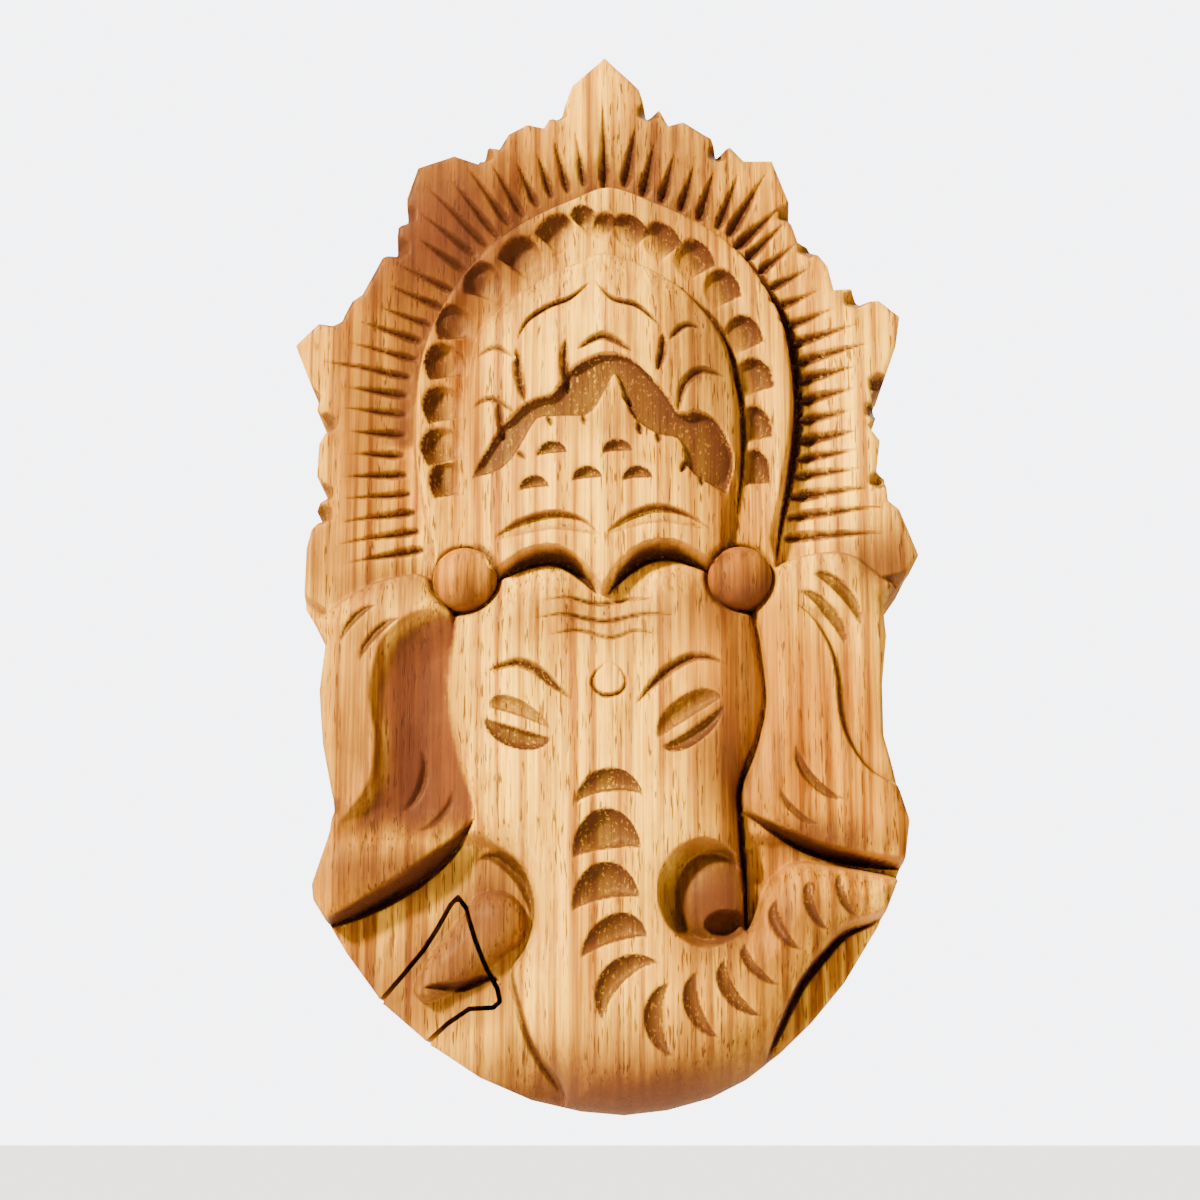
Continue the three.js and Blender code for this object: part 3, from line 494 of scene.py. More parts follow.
# %% Bites and wear
NOTCHES = [
    (46.4, 30.4, 2.2), (45.8, 25.8, 2.3), (-47.2, 8.0, 2.0), (-47.0, 11.6, 1.9), (-46.8, 23.8, 2.0),
    (35, 55.0, 2.2), (31.6, 61, 2.0), (-35.6, 55, 2.2), (-34.4, 61, 2.0), (45.8, 13.6, 1.8),
    (-8.4, 79.9, 2.0), (7.6, 79.8, 2.0), (19.6, 72.0, 1.8), (-20.8, 72.2, 1.8), (-46.6, 42.6, 2.2),
    (42.6, 45.6, 2.2), (-44.6, -41.6, 2.2),
]
BUTTONS = (("left", -23, -4.1, 0.05), ("right", 22.2, -4, 0.4))
for x, z, reach in NOTCHES:
    bite = np.clip(1 - np.maximum(np.abs(X - x), np.abs(X - x) / 2 + np.abs(Z - z)) / reach, 0, 1)
    relief = relief - 3.4 * bite
    # Painted shade in each bite, darkest in the two on the right of the rim.
    stain = np.maximum(stain, np.clip(3 * bite, 0, 1 if z in (30.4, 25.8) else 0.55))
for side, x, z, age in BUTTONS:
    moat = np.exp(-((np.hypot(X - x, Z - z) - 5.3) / 0.6) ** 2)
    relief = relief - 1.3 * moat
    # Painted shadow in the moat round the button.
    stain = np.maximum(stain, 0.95 * moat)
relief = blurred(relief)
worn = 0.5 * (1 - np.clip(in_rim / 0.9, 0, 1)) ** 2
relief = relief - worn
print("bites:", len(NOTCHES))

# %% [markdown]
# ## Where the wood has darkened
#
# The colour is darker in the left ear, over the upper left of the halo, round the tusks and under
# the trunk. Part of it is painted shade: in the hollow of the left ear, on the right cheek, the right
# side of the crown and of the face, under the lower edges of the ears and round the tusks. Each soft
# spot has a place, a width, a height and a strength.

# %% Darker wood and painted shade


def spot(x, z, wide, high, strength):
    return strength * np.exp(-((X - x) / wide) ** 2 - ((Z - z) / high) ** 2)


# Painted shade and darker tone in the hollow of the left ear; the halo beside the ring is darker.
darkened_and_shaded = 0.95 * in_ear * ease(0, 3, from_fold)
beside_ring = (1 - ease(0, 11, -ring_depth)) * (ring_depth < 0)
darkened_and_shaded = darkened_and_shaded + 0.7 * beside_ring * (Z > 20) * ease(26, 8, X)
# Painted shade lies in the spots at the right cheek (20, -34), the right of the crown (18, 34), the face's
# edges, under the ears (34, -47) and (-34, -52), and round the tusks; the other spots only make the colour
# darker.
SPOTS = [
    (-19, -59, 8, 10, 0.8), (-28, -68, 10, 8, 0.55), (17, -57, 7, 9, 0.9), (5, -90, 34, 11, 0.95),
    (18, 34, 8, 14, 0.45), (0, -11, 22, 5, 0.3), (-36, -4, 10, 5, 0.45), (46, -1, 7, 6, 0.7),
    (-28, 58, 18, 18, 0.9), (-37, -32, 9, 28, 0.4), (-40, 30, 6, 30, 0.3), (34, -47, 9, 3, 0.6),
    (17, -9, 7, 6, 0.4), (12, 60, 16, 7, 0.3), (-20, 20, 5, 22, 0.2), (-24, -66, 9, 10, 0.7),
    (20, -34, 6, 10, 0.5), (23, -20, 3, 14, 0.4), (-24, -28, 3, 18, 0.3), (30, -60, 10, 5, 0.35),
    (0, 22, 14, 4, 0.2), (-34, -52, 14, 5, 0.6), (-36, -72, 10, 8, 0.5), (10, 72, 12, 8, 0.45),
    (26, -66, 8, 8, 0.25), (31, -78, 6, 6, 0.3), (-47, 0, 5, 8, 0.3),
]
for at in SPOTS:
    darkened_and_shaded = np.maximum(darkened_and_shaded, spot(*at))
darkened_and_shaded = blurred(blurred(1 - (1 - np.clip(darkened_and_shaded, 0, 1)) ** 1.5))
print("darkened spots:", len(SPOTS))

# %% [markdown]
# ## Pieces from the board
#
# A piece is the part of the board inside its own saw line. Edge points of the grid are moved on to
# the saw line, walls are dropped from it to the flat back, and the points are joined up. Lid and
# key are cut from the same board, half a kerf on each side of the key's line.

# %% Cutting out a piece
key_depth = depth_in(KEY)


def sample(grid, x, z):
    """The grid's value at any point, read between its nearest four."""
    i = np.clip((x - xs[0]) / STEP, 0, len(xs) - 1.001)
    j = np.clip((z - zs[0]) / STEP, 0, len(zs) - 1.001)
    i0, j0 = i.astype(int), j.astype(int)
    u, v = i - i0, j - j0
    return ((grid[j0, i0] * (1 - u) + grid[j0, i0 + 1] * u) * (1 - v)
            + (grid[j0 + 1, i0] * (1 - u) + grid[j0 + 1, i0 + 1] * u) * v)


def cut_out(name, depth):
    """A closed solid of the board wherever depth, the distance inside the saw line, is positive."""
    used = depth > 0
    cells = used[:-1, :-1] & used[1:, :-1] & used[:-1, 1:] & used[1:, 1:]
    cells_round = np.pad(cells, 1)
    full = cells_round[:-1, :-1] & cells_round[1:, :-1] & cells_round[:-1, 1:] & cells_round[1:, 1:]
    some = cells_round[:-1, :-1] | cells_round[1:, :-1] | cells_round[:-1, 1:] | cells_round[1:, 1:]
    edge = some & ~full
    gz, gx = np.gradient(depth, STEP)
    size = np.maximum(np.hypot(gx, gz), 0.5)
    x = np.where(edge, X - depth * gx / size**2, X)
    z = np.where(edge, Z - depth * gz / size**2, Z)
    number = -np.ones(X.shape, int)
    number[some] = np.arange(some.sum())
    count = some.sum()
    px, pz = x[some], z[some]
    front = np.column_stack([px, -sample(relief, px, pz), pz])
    back = np.column_stack([px, np.full(count, -LID_BACK), pz])
    a, b = number[:-1, :-1][cells], number[:-1, 1:][cells]
    c, d = number[1:, 1:][cells], number[1:, :-1][cells]
    faces = [np.column_stack([a, b, c, d]), np.column_stack([d, c, b, a]) + count]
    sides = np.vstack([np.column_stack(e) for e in ((a, b), (b, c), (c, d), (d, a))])
    key_of = np.sort(sides, 1) @ [count, 1]
    _, first, seen = np.unique(key_of, return_index=True, return_counts=True)
    rim = sides[first[seen == 1]]
    faces.append(np.column_stack([rim[:, 1], rim[:, 0], rim[:, 0] + count, rim[:, 1] + count]))
    mesh = bpy.data.meshes.new(name)
    mesh.from_pydata(np.vstack([front, back]) / 1000, [], np.vstack(faces).tolist())
    tones = (("front", 1.0), ("stain", sample(stain, px, pz)), ("darkened_and_shaded", sample(darkened_and_shaded, px, pz)))
    for attribute, values in tones:
        layer = mesh.attributes.new(attribute, "FLOAT", "POINT")
        data = np.zeros(2 * count, np.float32)
        data[:count] = values
        layer.data.foreach_set("value", data)
    piece = bpy.data.objects.new(name, mesh)
    bpy.context.collection.objects.link(piece)
    print(name, "cut out:", len(mesh.polygons), "faces")
    return piece


lid = cut_out("carved_lid", np.minimum(in_rim, -key_depth - KERF / 2))
key = cut_out("sawn_key", np.minimum(in_rim, key_depth - KERF / 2))

# %% [markdown]
# ## Lines for the parting tool
#
# V cuts follow drawn lines: the rays of the halo, the wrinkles of the forehead, the petals of the
# crown, and the deep undercuts that part one form from the next. A ray is a straight stroke, given
# by its two ends. Any other line is a few points, a width and a depth.

# %% Where the lines run
RAYS = [
    [0.1, 66.9, -0.3, 81.8], [3.6, 67.5, 5.6, 77.8], [6.8, 65.6, 8.7, 74.7], [10, 64.4, 12.3, 73],
    [13.3, 62.8, 15.6, 70.6], [16.5, 61.2, 19, 69.4], [19.6, 59.4, 23.4, 69],
    [21.6, 58.2, 28.1, 68.7], [22.8, 55.8, 31, 62.8], [24, 53.2, 31.4, 59.8],
    [25.6, 50.6, 33.4, 56], [27, 47.6, 35.4, 51.4], [28.4, 44.4, 37, 47.4], [30, 41, 39.6, 44],
    [31, 38, 43.6, 41], [32.2, 34.8, 45.4, 37.6], [32.6, 31.6, 43, 33.6], [33, 28, 43, 29.8],
    [33.1, 24.6, 42.4, 25.8], [33, 21, 43, 22.2], [32.7, 17.8, 43, 18.8], [32, 14.8, 43.6, 15.5],
    [31.5, 11.2, 45, 12.2], [31, 7.6, 47.4, 8.9], [30.4, 4, 48.6, 4.4],
    [-3.6, 67.4, -5.2, 77], [-6.4, 66.2, -9, 75.6], [-9.2, 65.2, -11.8, 72.8],
    [-11.8, 63.6, -15.4, 71], [-14.2, 61.8, -20, 71], [-16.6, 60.2, -24, 70],
    [-18.6, 58, -27, 68], [-20.4, 56.2, -31.2, 66.6], [-22.6, 54.6, -31.9, 61.4],
    [-24.2, 51.8, -32.4, 57], [-26.2, 48, -36.4, 52.4], [-28, 45, -37.4, 48.4],
    [-30, 41.8, -39, 44.6], [-31.6, 38.9, -42.2, 41.8], [-32.4, 35.6, -44, 38],
    [-33.4, 32.4, -49.4, 34.8], [-34, 29.2, -44.4, 30], [-34.1, 25.8, -44.4, 26.3],
    [-34.2, 22.2, -43.4, 22.2], [-34.4, 18.6, -43.2, 18.3], [-33.8, 15.2, -44.2, 14.2],
    [-33, 11.9, -44.6, 10.2], [-32.3, 8.7, -44.7, 6.2], [-31.5, 5.4, -45.2, 2.4],
    [-30.8, 2.2, -43.4, -0.8],
]
LINES = [
    # forehead
    ([[-10.6, -8.5], [-6, -7.6], [-1, -8.4], [4, -7.8], [9.2, -8.3]], 1.1, 0.7),
    ([[-12, -11.5], [-6.5, -10.6], [0, -11.5], [6, -10.6], [11.8, -10.8]], 1.2, 0.8),
    ([[-9.6, -14.2], [-4, -13.3], [1, -14.5], [5, -13.4], [9.2, -14.1]], 1.1, 0.7),
    # brows and the drop between them
    ([[-19.2, -20], [-14.3, -18.6], [-11, -19.8], [-8, -22.4], [-5, -24.8]], 2.2, 1.4),
    ([[5, -25.6], [8.7, -21.2], [12.9, -18.2], [16.4, -17.7], [20, -18.9]], 2.2, 1.4),
    ([[0.8, -18.2], [-1.4, -20.2], [-2, -22.2], [-0.6, -23.8], [0.9, -24], [2.6, -23.4],
      [3.4, -21.8], [2.6, -19.8], [0.8, -18.2]], 1.0, 0.9),
    # petals of the crown
    ([[-14.5, 35.4], [-13.8, 37.6], [-12.4, 39.8], [-9.1, 42], [-5.6, 43.4], [-2, 46.6]], 1.3, 1.2),
    ([[-1.6, 46.4], [1.4, 43], [5.4, 41.9], [8.2, 39.4], [9.7, 37.8]], 1.3, 1.2),
    ([[-14.6, 34.6], [-14.2, 30], [-13, 24.6]], 2.2, 1.5), ([[9.8, 37], [9.6, 33.5], [8.8, 30]], 1.9, 1.4),
    ([[-6.4, 36], [-6.6, 31.5], [-6, 26.6]], 2.1, 1.5),
    ([[-4.6, 33.8], [-0.2, 36.3], [4.8, 33.4]], 1.9, 1.3),
    ([[-21.6, 33.6], [-18.2, 34.9], [-14.8, 32.7]], 1.3, 0.8),
    ([[-22.4, 24.4], [-19, 26], [-14.6, 23.2]], 1.4, 0.9),
    ([[10.7, 35.6], [13.4, 38.6], [16.2, 38.2]], 1.6, 1.0),
    ([[12, 22.4], [13.2, 28], [16.2, 30.6], [20.4, 29.8]], 2.0, 1.2),
    ([[-17.4, 26.4], [-17.3, 23], [-16.6, 18.8]], 1.8, 1.2),
    # undercuts below the ears, beside the trunk and under the tusk
    ([[-46.5, -60.8], [-39, -57.6], [-31, -53.0], [-24.5, -47.6], [-21, -43]], 3.0, 4.2),
    ([[22, -42.2], [30, -46.4], [37, -49.2], [48.6, -51.2]], 1.8, 3.2),
    ([[46, -58.2], [42.6, -60], [38.4, -61.8], [34.8, -65.4], [31.4, -69.6], [29, -74.2],
      [26.4, -80], [25, -84]], 1.8, 3.0),
    ([[24.2, -30.6], [22.0, -37.4], [21.9, -44], [22.4, -52], [22.7, -63]], 1.3, 2.6),
    ([[-29, -70.2], [-23, -69.8], [-18.6, -68.4], [-16.6, -69.6]], 1.8, 2.2),
    ([[-15.2, -66], [-13.2, -75], [-10.6, -81.4], [-5.4, -88.4]], 1.7, 1.1),
    # upper edges of the headband
    ([[-18.4, 1.8], [-14.1, 4.6], [-8.4, 5.9], [-3.7, 4.8], [-0.5, 2.0]], 1.3, 1.0),
    ([[-0.1, 2.1], [3.8, 5.3], [8.6, 7.0], [13.5, 5.8], [17.8, 3.3]], 1.3, 1.0),
    # small nicks along the wavy band
    ([[2.9, 26.2], [4.7, 24.3]], 1.5, 1.0), ([[5.6, 21.6], [6.0, 19.0]], 1.6, 1.1),
    ([[8.6, 19.8], [9.2, 17.6]], 1.4, 1.0), ([[13.6, 15.2], [12.6, 12.8]], 1.5, 1.1),
    ([[15.6, 12.6], [16.2, 10.6]], 1.4, 1.0), ([[-9.4, 22.8], [-8.6, 20.6]], 1.3, 0.9),
    ([[-3.6, 23.0], [-3.2, 20.8]], 1.3, 0.9), ([[-14.4, 16.6], [-12.8, 15.2]], 1.3, 0.9),
    # undercuts of the ring, the crown, the headband and the right ear's fold
    ([[17, 58.8], [25.2, 52.2], [30.4, 43], [32.2, 35], [32.6, 25.4], [31.2, 14.8], [29.6, 7],
      [28, -3]], 2.0, 2.8),
    ([[11, 48.6], [17.8, 42], [20.8, 36.9], [22.4, 29.8], [23.1, 22.8], [22.8, 14.5], [21.6, 5]], 1.3, 1.8),
    ([[-18.6, -4.6], [-12.4, -1.2], [-7.6, -0.8], [-3.9, -3.4], [-0.9, -7]], 2.6, 2.6),
    ([[0.3, -7.2], [3, -3.3], [6.9, -0.3], [11.7, 0.0], [18.4, -3.4]], 2.6, 2.6),
    ([[30.4, -8.2], [33.6, -10.5], [36.6, -15.3], [37.8, -20.5], [38.2, -26.4], [39.5, -31],
      [42.6, -35.8], [47.6, -38.4]], 1.2, 1.2),
]
print("rays:", len(RAYS), "other lines:", len(LINES))

# %% [markdown]
# ## Drawing the lines
#
# The lines become a mesh of edges that knows its own width and depth at every point. A stroke grows
# thin towards its ends, as the tool enters and leaves the wood. Each ray is a little wider or
# narrower than the next, and the seed makes that the same every time.

# %% Drawn lines


def draw_lines(name, strokes):
    """A mesh of edges lying in the plane y = 0. Each stroke is (points, widths, depths)."""
    points, edges, widths, depths = [], [], [], []
    for line, wide, deep in strokes:
        first = len(points)
        points += [(x / 1000, 0, z / 1000) for x, z in line]
        edges += [(i, i + 1) for i in range(first, len(points) - 1)]
        widths += list(wide)
        depths += list(deep)
    mesh = bpy.data.meshes.new(name)
    mesh.from_pydata(points, edges, [])
    for attribute, values in (("width", widths), ("depth", depths)):
        mesh.attributes.new(attribute, "FLOAT", "POINT").data.foreach_set("value", np.array(values) / 1000)
    made = bpy.data.objects.new(name, mesh)
    bpy.context.collection.objects.link(made)
    return made


def tapered(line, width, depth):
    run = smooth(line, False, 0.35)
    t = np.linspace(-1, 1, len(run))
    swell = np.clip(1 - np.abs(t) ** 2.4, 0.02, 1)
    return run, width * swell, depth * swell


def ray(x0, z0, x1, z1, width, depth):
    t = np.linspace(0, 1, 30)
    run = np.column_stack([x0 + (x1 - x0) * t, z0 + (z1 - z0) * t])
    taper = np.clip(np.minimum((1 - t**1.5), 0.7 + 2.5 * t), 0.02, 1)
    return run, width * taper, depth * taper


rng = np.random.default_rng(7)
ray_strokes = []
for x0, z0, x1, z1 in RAYS:
    wide = (2.7 if x0 > 0 else 2.1) + rng.uniform(-0.25, 0.25)
    ray_strokes.append(ray(x0, z0, x1, z1, wide, 0.62 * wide))
pencil = draw_lines("drawn_lines", ray_strokes + [tapered(*line) for line in LINES])
print("points drawn:", len(pencil.data.vertices))

# %% [markdown]
# ## Nodes
#
# The parting tool and the finishes are both built from nodes. One helper adds a node of any kind,
# sets it up, fills its inputs with plain values or with other nodes' outputs, and hands back one of
# its own outputs.

# %% Adding a node
def add(tree, kind, inputs=(), out=0, **settings):
    """Adds one node. inputs are given in order, or as a dictionary by number or name."""
    node = tree.nodes.new(kind)
    for name, value in settings.items():
        setattr(node, name, value)
    for at, value in (inputs if isinstance(inputs, dict) else dict(enumerate(inputs))).items():
        if isinstance(value, bpy.types.NodeSocket):
            tree.links.new(value, node.inputs[at])
        else:
            node.inputs[at].default_value = value
    return node.outputs[out]


print("one helper adds every node")

# %% [markdown]
# ## The parting tool itself
#
# For each point of the surface the tree finds the nearest drawn line and reads the width and depth
# there. A point within half the width is pushed in, most on the line itself, which gives a V. The
# tree also writes how deep it cut into an attribute that darkens the V, partly as stain and partly as
# painted shade, and adds the slight unevenness that hand tools leave. Points on the back and the
# walls carry front = 0 and stay where they are.

# %% Building the parting tool
CUT_STAIN_AND_SHADE = 1300.0
DARKEST = 0.98
UNEVEN_SCALE, UNEVEN_DEPTH = 170.0, 0.0007


def parting_tool():
    tree = bpy.data.node_groups.new("parting tool", "GeometryNodeTree")
    wanted = {"Geometry": "Geometry", "Lines": "Object", "Strength": "Float", "Wood": "Material"}
    for name, kind in wanted.items():
        tree.interface.new_socket(name, in_out="INPUT", socket_type="NodeSocket" + kind)
    tree.interface.new_socket("Geometry", in_out="OUTPUT", socket_type="NodeSocketGeometry")
    given = tree.nodes.new("NodeGroupInput").outputs
    strokes = add(tree, "GeometryNodeObjectInfo", (given["Lines"],), "Geometry")
    position = add(tree, "GeometryNodeInputPosition")
    across, up = (add(tree, "ShaderNodeSeparateXYZ", (position,), axis) for axis in "XZ")
    flat = add(tree, "ShaderNodeCombineXYZ", {"X": across, "Z": up})
    away = add(tree, "GeometryNodeProximity", {0: strokes, "Sample Position": flat}, "Distance",
               target_element="EDGES")
    nearest = add(tree, "GeometryNodeSampleNearest", (strokes, flat), domain="POINT")

    def attribute(name):
        return add(tree, "GeometryNodeInputNamedAttribute", (name,), data_type="FLOAT")

    def at_nearest(name):
        """The named attribute of the nearest point of the lines."""
        return add(tree, "GeometryNodeSampleIndex", (strokes, attribute(name), nearest),
                   data_type="FLOAT", domain="POINT")

    half = add(tree, "ShaderNodeMath", (at_nearest("width"), 0.5), operation="MULTIPLY")
    share = add(tree, "ShaderNodeMath", (away, half), operation="DIVIDE")
    share = add(tree, "ShaderNodeMath", (1.0, share), operation="SUBTRACT")
    share = add(tree, "ShaderNodeMath", (share, 0.0), operation="MAXIMUM")
    cut = add(tree, "ShaderNodeMath", (share, at_nearest("depth")), operation="MULTIPLY")
    cut = add(tree, "ShaderNodeMath", (cut, given["Strength"]), operation="MULTIPLY")
    chatter = add(tree, "ShaderNodeTexNoise", {"Vector": flat, "Scale": UNEVEN_SCALE, "Detail": 2.0})
    chatter = add(tree, "ShaderNodeMath", (chatter, 0.5), operation="SUBTRACT")
    cut = add(tree, "ShaderNodeMath", (chatter, UNEVEN_DEPTH, cut), operation="MULTIPLY_ADD")
    cut = add(tree, "ShaderNodeMath", (cut, attribute("front")), operation="MULTIPLY")

    # Painted shade and stain: the deeper the V, the darker its colour.
    tone = add(tree, "ShaderNodeMath", (cut, CUT_STAIN_AND_SHADE), operation="MULTIPLY")
    tone = add(tree, "ShaderNodeMath", (tone, DARKEST), operation="MINIMUM")
    tone = add(tree, "ShaderNodeMath", (attribute("stain"), tone), operation="MAXIMUM")
    noted = add(tree, "GeometryNodeStoreNamedAttribute",
                {"Geometry": given["Geometry"], "Name": "stain", "Value": tone},
                data_type="FLOAT", domain="POINT")
    inwards = add(tree, "ShaderNodeCombineXYZ", {"Y": cut})
    moved = add(tree, "GeometryNodeSetPosition", {"Geometry": noted, "Offset": inwards})
    real = add(tree, "GeometryNodeRealizeInstances", (moved,))
    clad = add(tree, "GeometryNodeSetMaterial", {"Geometry": real, "Material": given["Wood"]})
    tree.links.new(clad, tree.nodes.new("NodeGroupOutput").inputs[0])
    return tree


tool = parting_tool()
print("parting tool:", len(tool.nodes), "nodes")

# %% [markdown]
# ## From a tool to a mesh
#
# A modifier is a recipe. Once a cut is made it becomes plain wood, so the result is kept as the
# piece's own mesh. The board's grid is fine everywhere, also where the surface is flat, and merging
# faces there makes the piece light without moving its edges.

# %% Keeping the result
CREASE = math.radians(42)


def apply_nodes(piece, tree, **values):
    """Runs a node tree on a piece once and keeps the result as its mesh."""
    made = piece.modifiers.new(tree.name, "NODES")
    made.node_group = tree
    for item in tree.interface.items_tree:
        if item.item_type == "SOCKET" and item.in_out == "INPUT" and item.name in values:
            made[item.identifier] = values[item.name]
    depsgraph = bpy.context.evaluated_depsgraph_get()
    result = bpy.data.meshes.new_from_object(piece.evaluated_get(depsgraph))
    piece.modifiers.clear()
    piece.data = result


def thin_out(piece, most):
    """Merges faces where the surface is flat until no more than this many triangles are left."""
    triangles = sum(len(p.vertices) - 2 for p in piece.data.polygons)
    if triangles > most:
        less = piece.modifiers.new("thin out", "DECIMATE")
        less.ratio = most / triangles
        depsgraph = bpy.context.evaluated_depsgraph_get()
        piece.data = bpy.data.meshes.new_from_object(piece.evaluated_get(depsgraph))
        piece.modifiers.clear()
    piece.data.shade_smooth()
    piece.data.set_sharp_from_angle(angle=CREASE)
    print(piece.name, "had", triangles, "triangles and now has", len(piece.data.polygons), "faces")


print("creases are kept above %.0f degrees" % math.degrees(CREASE))

# %% [markdown]
# ## Colours
#
# Colours are written as a paint chart gives them and turned to the linear values that light adds up
# in. A finish is built by laying tones over one another, each where its own pattern says.

# %% Colours
def linear(code):
    """An sRGB hex colour as linear red, green, blue, alpha."""
    parts = [int(code[i:i + 2], 16) / 255 for i in (1, 3, 5)]
    return [c / 12.92 if c <= 0.04045 else ((c + 0.055) / 1.055) ** 2.4 for c in parts] + [1]


def laid_over(tree, colour, layers):
    """Lays tones over a colour, one after the other. Each layer is (way of mixing, amount, tone)."""
    for way, amount, tone in layers:
        tone = linear(tone) if isinstance(tone, str) else tone
        colour = add(tree, "ShaderNodeMix", {0: amount, 6: colour, 7: tone}, 2,
                     data_type="RGBA", blend_type=way)
    return colour


print("bright streak, linear:", [round(c, 3) for c in linear("#F8CA3C")])

# %% [markdown]
# ## The wood
#
# The mask is a golden, open-grained hardwood with a thin satin lacquer. The grain runs up the
# board: yellow and brown streaks about 2 mm wide and 80 mm long, fine fibres, and pores like short
# pencil dashes, 0.3 mm wide and 3 mm long. They are drawn a little coarser than life, so that they
# show. Where the saw cut across the grain the wood is darker and dotted. The cuts are darkened,
# partly by stain and partly with painted shade, and other places are darker in tone or painted with
# shade; the piece's own attributes say where.

# %% Wood


def wood(name, light, dark, cut_stain_and_shade_tone, stained_and_shaded=True, seed=0.0):
    material = bpy.data.materials.new(name)
    material.use_nodes = True
    tree = material.node_tree
    surface = tree.nodes["Principled BSDF"].inputs
    place = add(tree, "ShaderNodeTexCoord", out="Object")

    def figure(across, along, detail, rough, shift, deep, edges=None, most=1.0):
        """Noise with so many features per millimetre across and along the grain.

        deep is how fast it changes through the thickness, as a share of across. edges are two
        levels of the noise between which a soft-edged mark rises from nothing to most.
        """
        size = (across * 1000, across * deep * 1000, along * 1000)
        stretched = add(tree, "ShaderNodeMapping", {0: place, 1: (seed + shift, shift, 0), 3: size})
        noise = add(tree, "ShaderNodeTexNoise",
                    {0: stretched, "Scale": 1.0, "Detail": detail, "Roughness": rough})
        if edges is None:
            return noise
        return add(tree, "ShaderNodeMapRange", {0: noise, 1: edges[0], 2: edges[1], 4: most},
                   interpolation_type="SMOOTHSTEP")

    streaks = figure(0.55, 0.012, 4.0, 0.6, 0, 0.1, (0.34, 0.68))
    fibres = figure(2.6, 0.035, 2.0, 0.5, 11, 0.45)
    fibre_marks = add(tree, "ShaderNodeMapRange", {0: fibres, 1: 0.4, 2: 0.68, 4: 0.45},
                      interpolation_type="SMOOTHSTEP")
    patches = figure(0.03, 0.012, 2.0, 0.5, 5, 0.1, (0.42, 0.66), 0.75)
    pores = figure(3.2, 0.28, 1.0, 0.4, 23, 0.45, (0.6, 0.67))
    crowded = figure(0.4, 0.02, 2.0, 0.5, 31, 0.45, (0.36, 0.56))
    dashes = add(tree, "ShaderNodeMath", (pores, crowded), operation="MULTIPLY")
    dash_marks = add(tree, "ShaderNodeMath", (dashes, 0.8), operation="MULTIPLY")

    facing = add(tree, "ShaderNodeSeparateXYZ", (add(tree, "ShaderNodeTexCoord", out="Normal"),), "Z")
    facing = add(tree, "ShaderNodeMath", (facing,), operation="ABSOLUTE")
    end_grain = add(tree, "ShaderNodeMapRange", {0: facing, 1: 0.5, 2: 0.9, 4: 0.85},
                    interpolation_type="SMOOTHSTEP")
    sawn_end = laid_over(tree, linear("#AE7A30"), [
        ("MIX", figure(0.8, 0.01, 2.0, 0.5, 57, 0.08, (0.3, 0.7)), "#946226"),
        ("MIX", figure(3.0, 0.5, 1.0, 0.5, 61, 1.0, (0.6, 0.66), 0.6), "#573012"),
    ])
    colour = laid_over(tree, linear(light), [
        ("MIX", streaks, dark), ("MULTIPLY", fibre_marks, "#B8903E"), ("MULTIPLY", patches, "#A8803C"),
        ("MIX", dash_marks, "#4A260A"), ("MIX", end_grain, sawn_end),
    ])
    if stained_and_shaded:
        aged_and_shaded = add(tree, "ShaderNodeAttribute", out="Fac", attribute_name="darkened_and_shaded")
        aged_and_shaded_half = add(tree, "ShaderNodeMath", (aged_and_shaded, 0.5), operation="MULTIPLY")
        in_cut = add(tree, "ShaderNodeAttribute", out="Fac", attribute_name="stain")
        specks = figure(2.1, 1.3, 1.0, 0.6, 41, 1.0, (0.6, 0.68), 0.3)
        stain_and_shade_amount = add(tree, "ShaderNodeMath", (1.0, specks), operation="SUBTRACT")
        stain_and_shade_amount = add(tree, "ShaderNodeMath", (in_cut, stain_and_shade_amount), operation="MULTIPLY")
        # Darker tone and painted shade from the attributes, then stain and painted shade in the cuts.
        colour = laid_over(tree, colour, [
            ("MULTIPLY", aged_and_shaded, "#76503A"), ("MIX", aged_and_shaded_half, "#52342E"), ("MIX", stain_and_shade_amount, cut_stain_and_shade_tone),
        ])
    tree.links.new(colour, surface["Base Color"])
    sheen = add(tree, "ShaderNodeMath", (fibres, 0.16, 0.4), operation="MULTIPLY_ADD")
    tree.links.new(sheen, surface["Roughness"])
    surface["Specular IOR Level"].default_value = 0.1
    surface["Specular Tint"].default_value = linear("#FFDC9A")
    raised = add(tree, "ShaderNodeMath", (fibres, 0.4), operation="MULTIPLY")
    raised = add(tree, "ShaderNodeMath", (raised, dashes), operation="SUBTRACT")
    bump = add(tree, "ShaderNodeBump", {"Strength": 0.5, "Distance": 0.00012, "Height": raised})
    tree.links.new(bump, surface["Normal"])
    return material


# The carved face is lacquered: bright yellow streaks, and chestnut cuts darkened by stain and painted shade.
carved_wood = wood("carved golden hardwood, satin lacquer", "#F8CA3C", "#94601A", "#3E2218")
# The box behind it is sanded flat and has no stain and no painted shade, so it looks plainer and a shade
# browner.
body_wood = wood("sanded golden hardwood, satin lacquer", "#E8B436", "#8A5A18", "#4C2812", False, 3.0)
# The buttons come from a darker offcut; painted shade darkens their lower edges.
button_wood = wood("turned golden hardwood, satin lacquer", "#DCA230", "#744810", "#4C2812", True, 9.0)
print("woods:", carved_wood.name, "|", body_wood.name, "|", button_wood.name)

# %% [markdown]
# ## The metal
#
# The screw and its washer are plain zinc-plated steel: a slightly dull, light grey metal that
# blurs what it reflects.

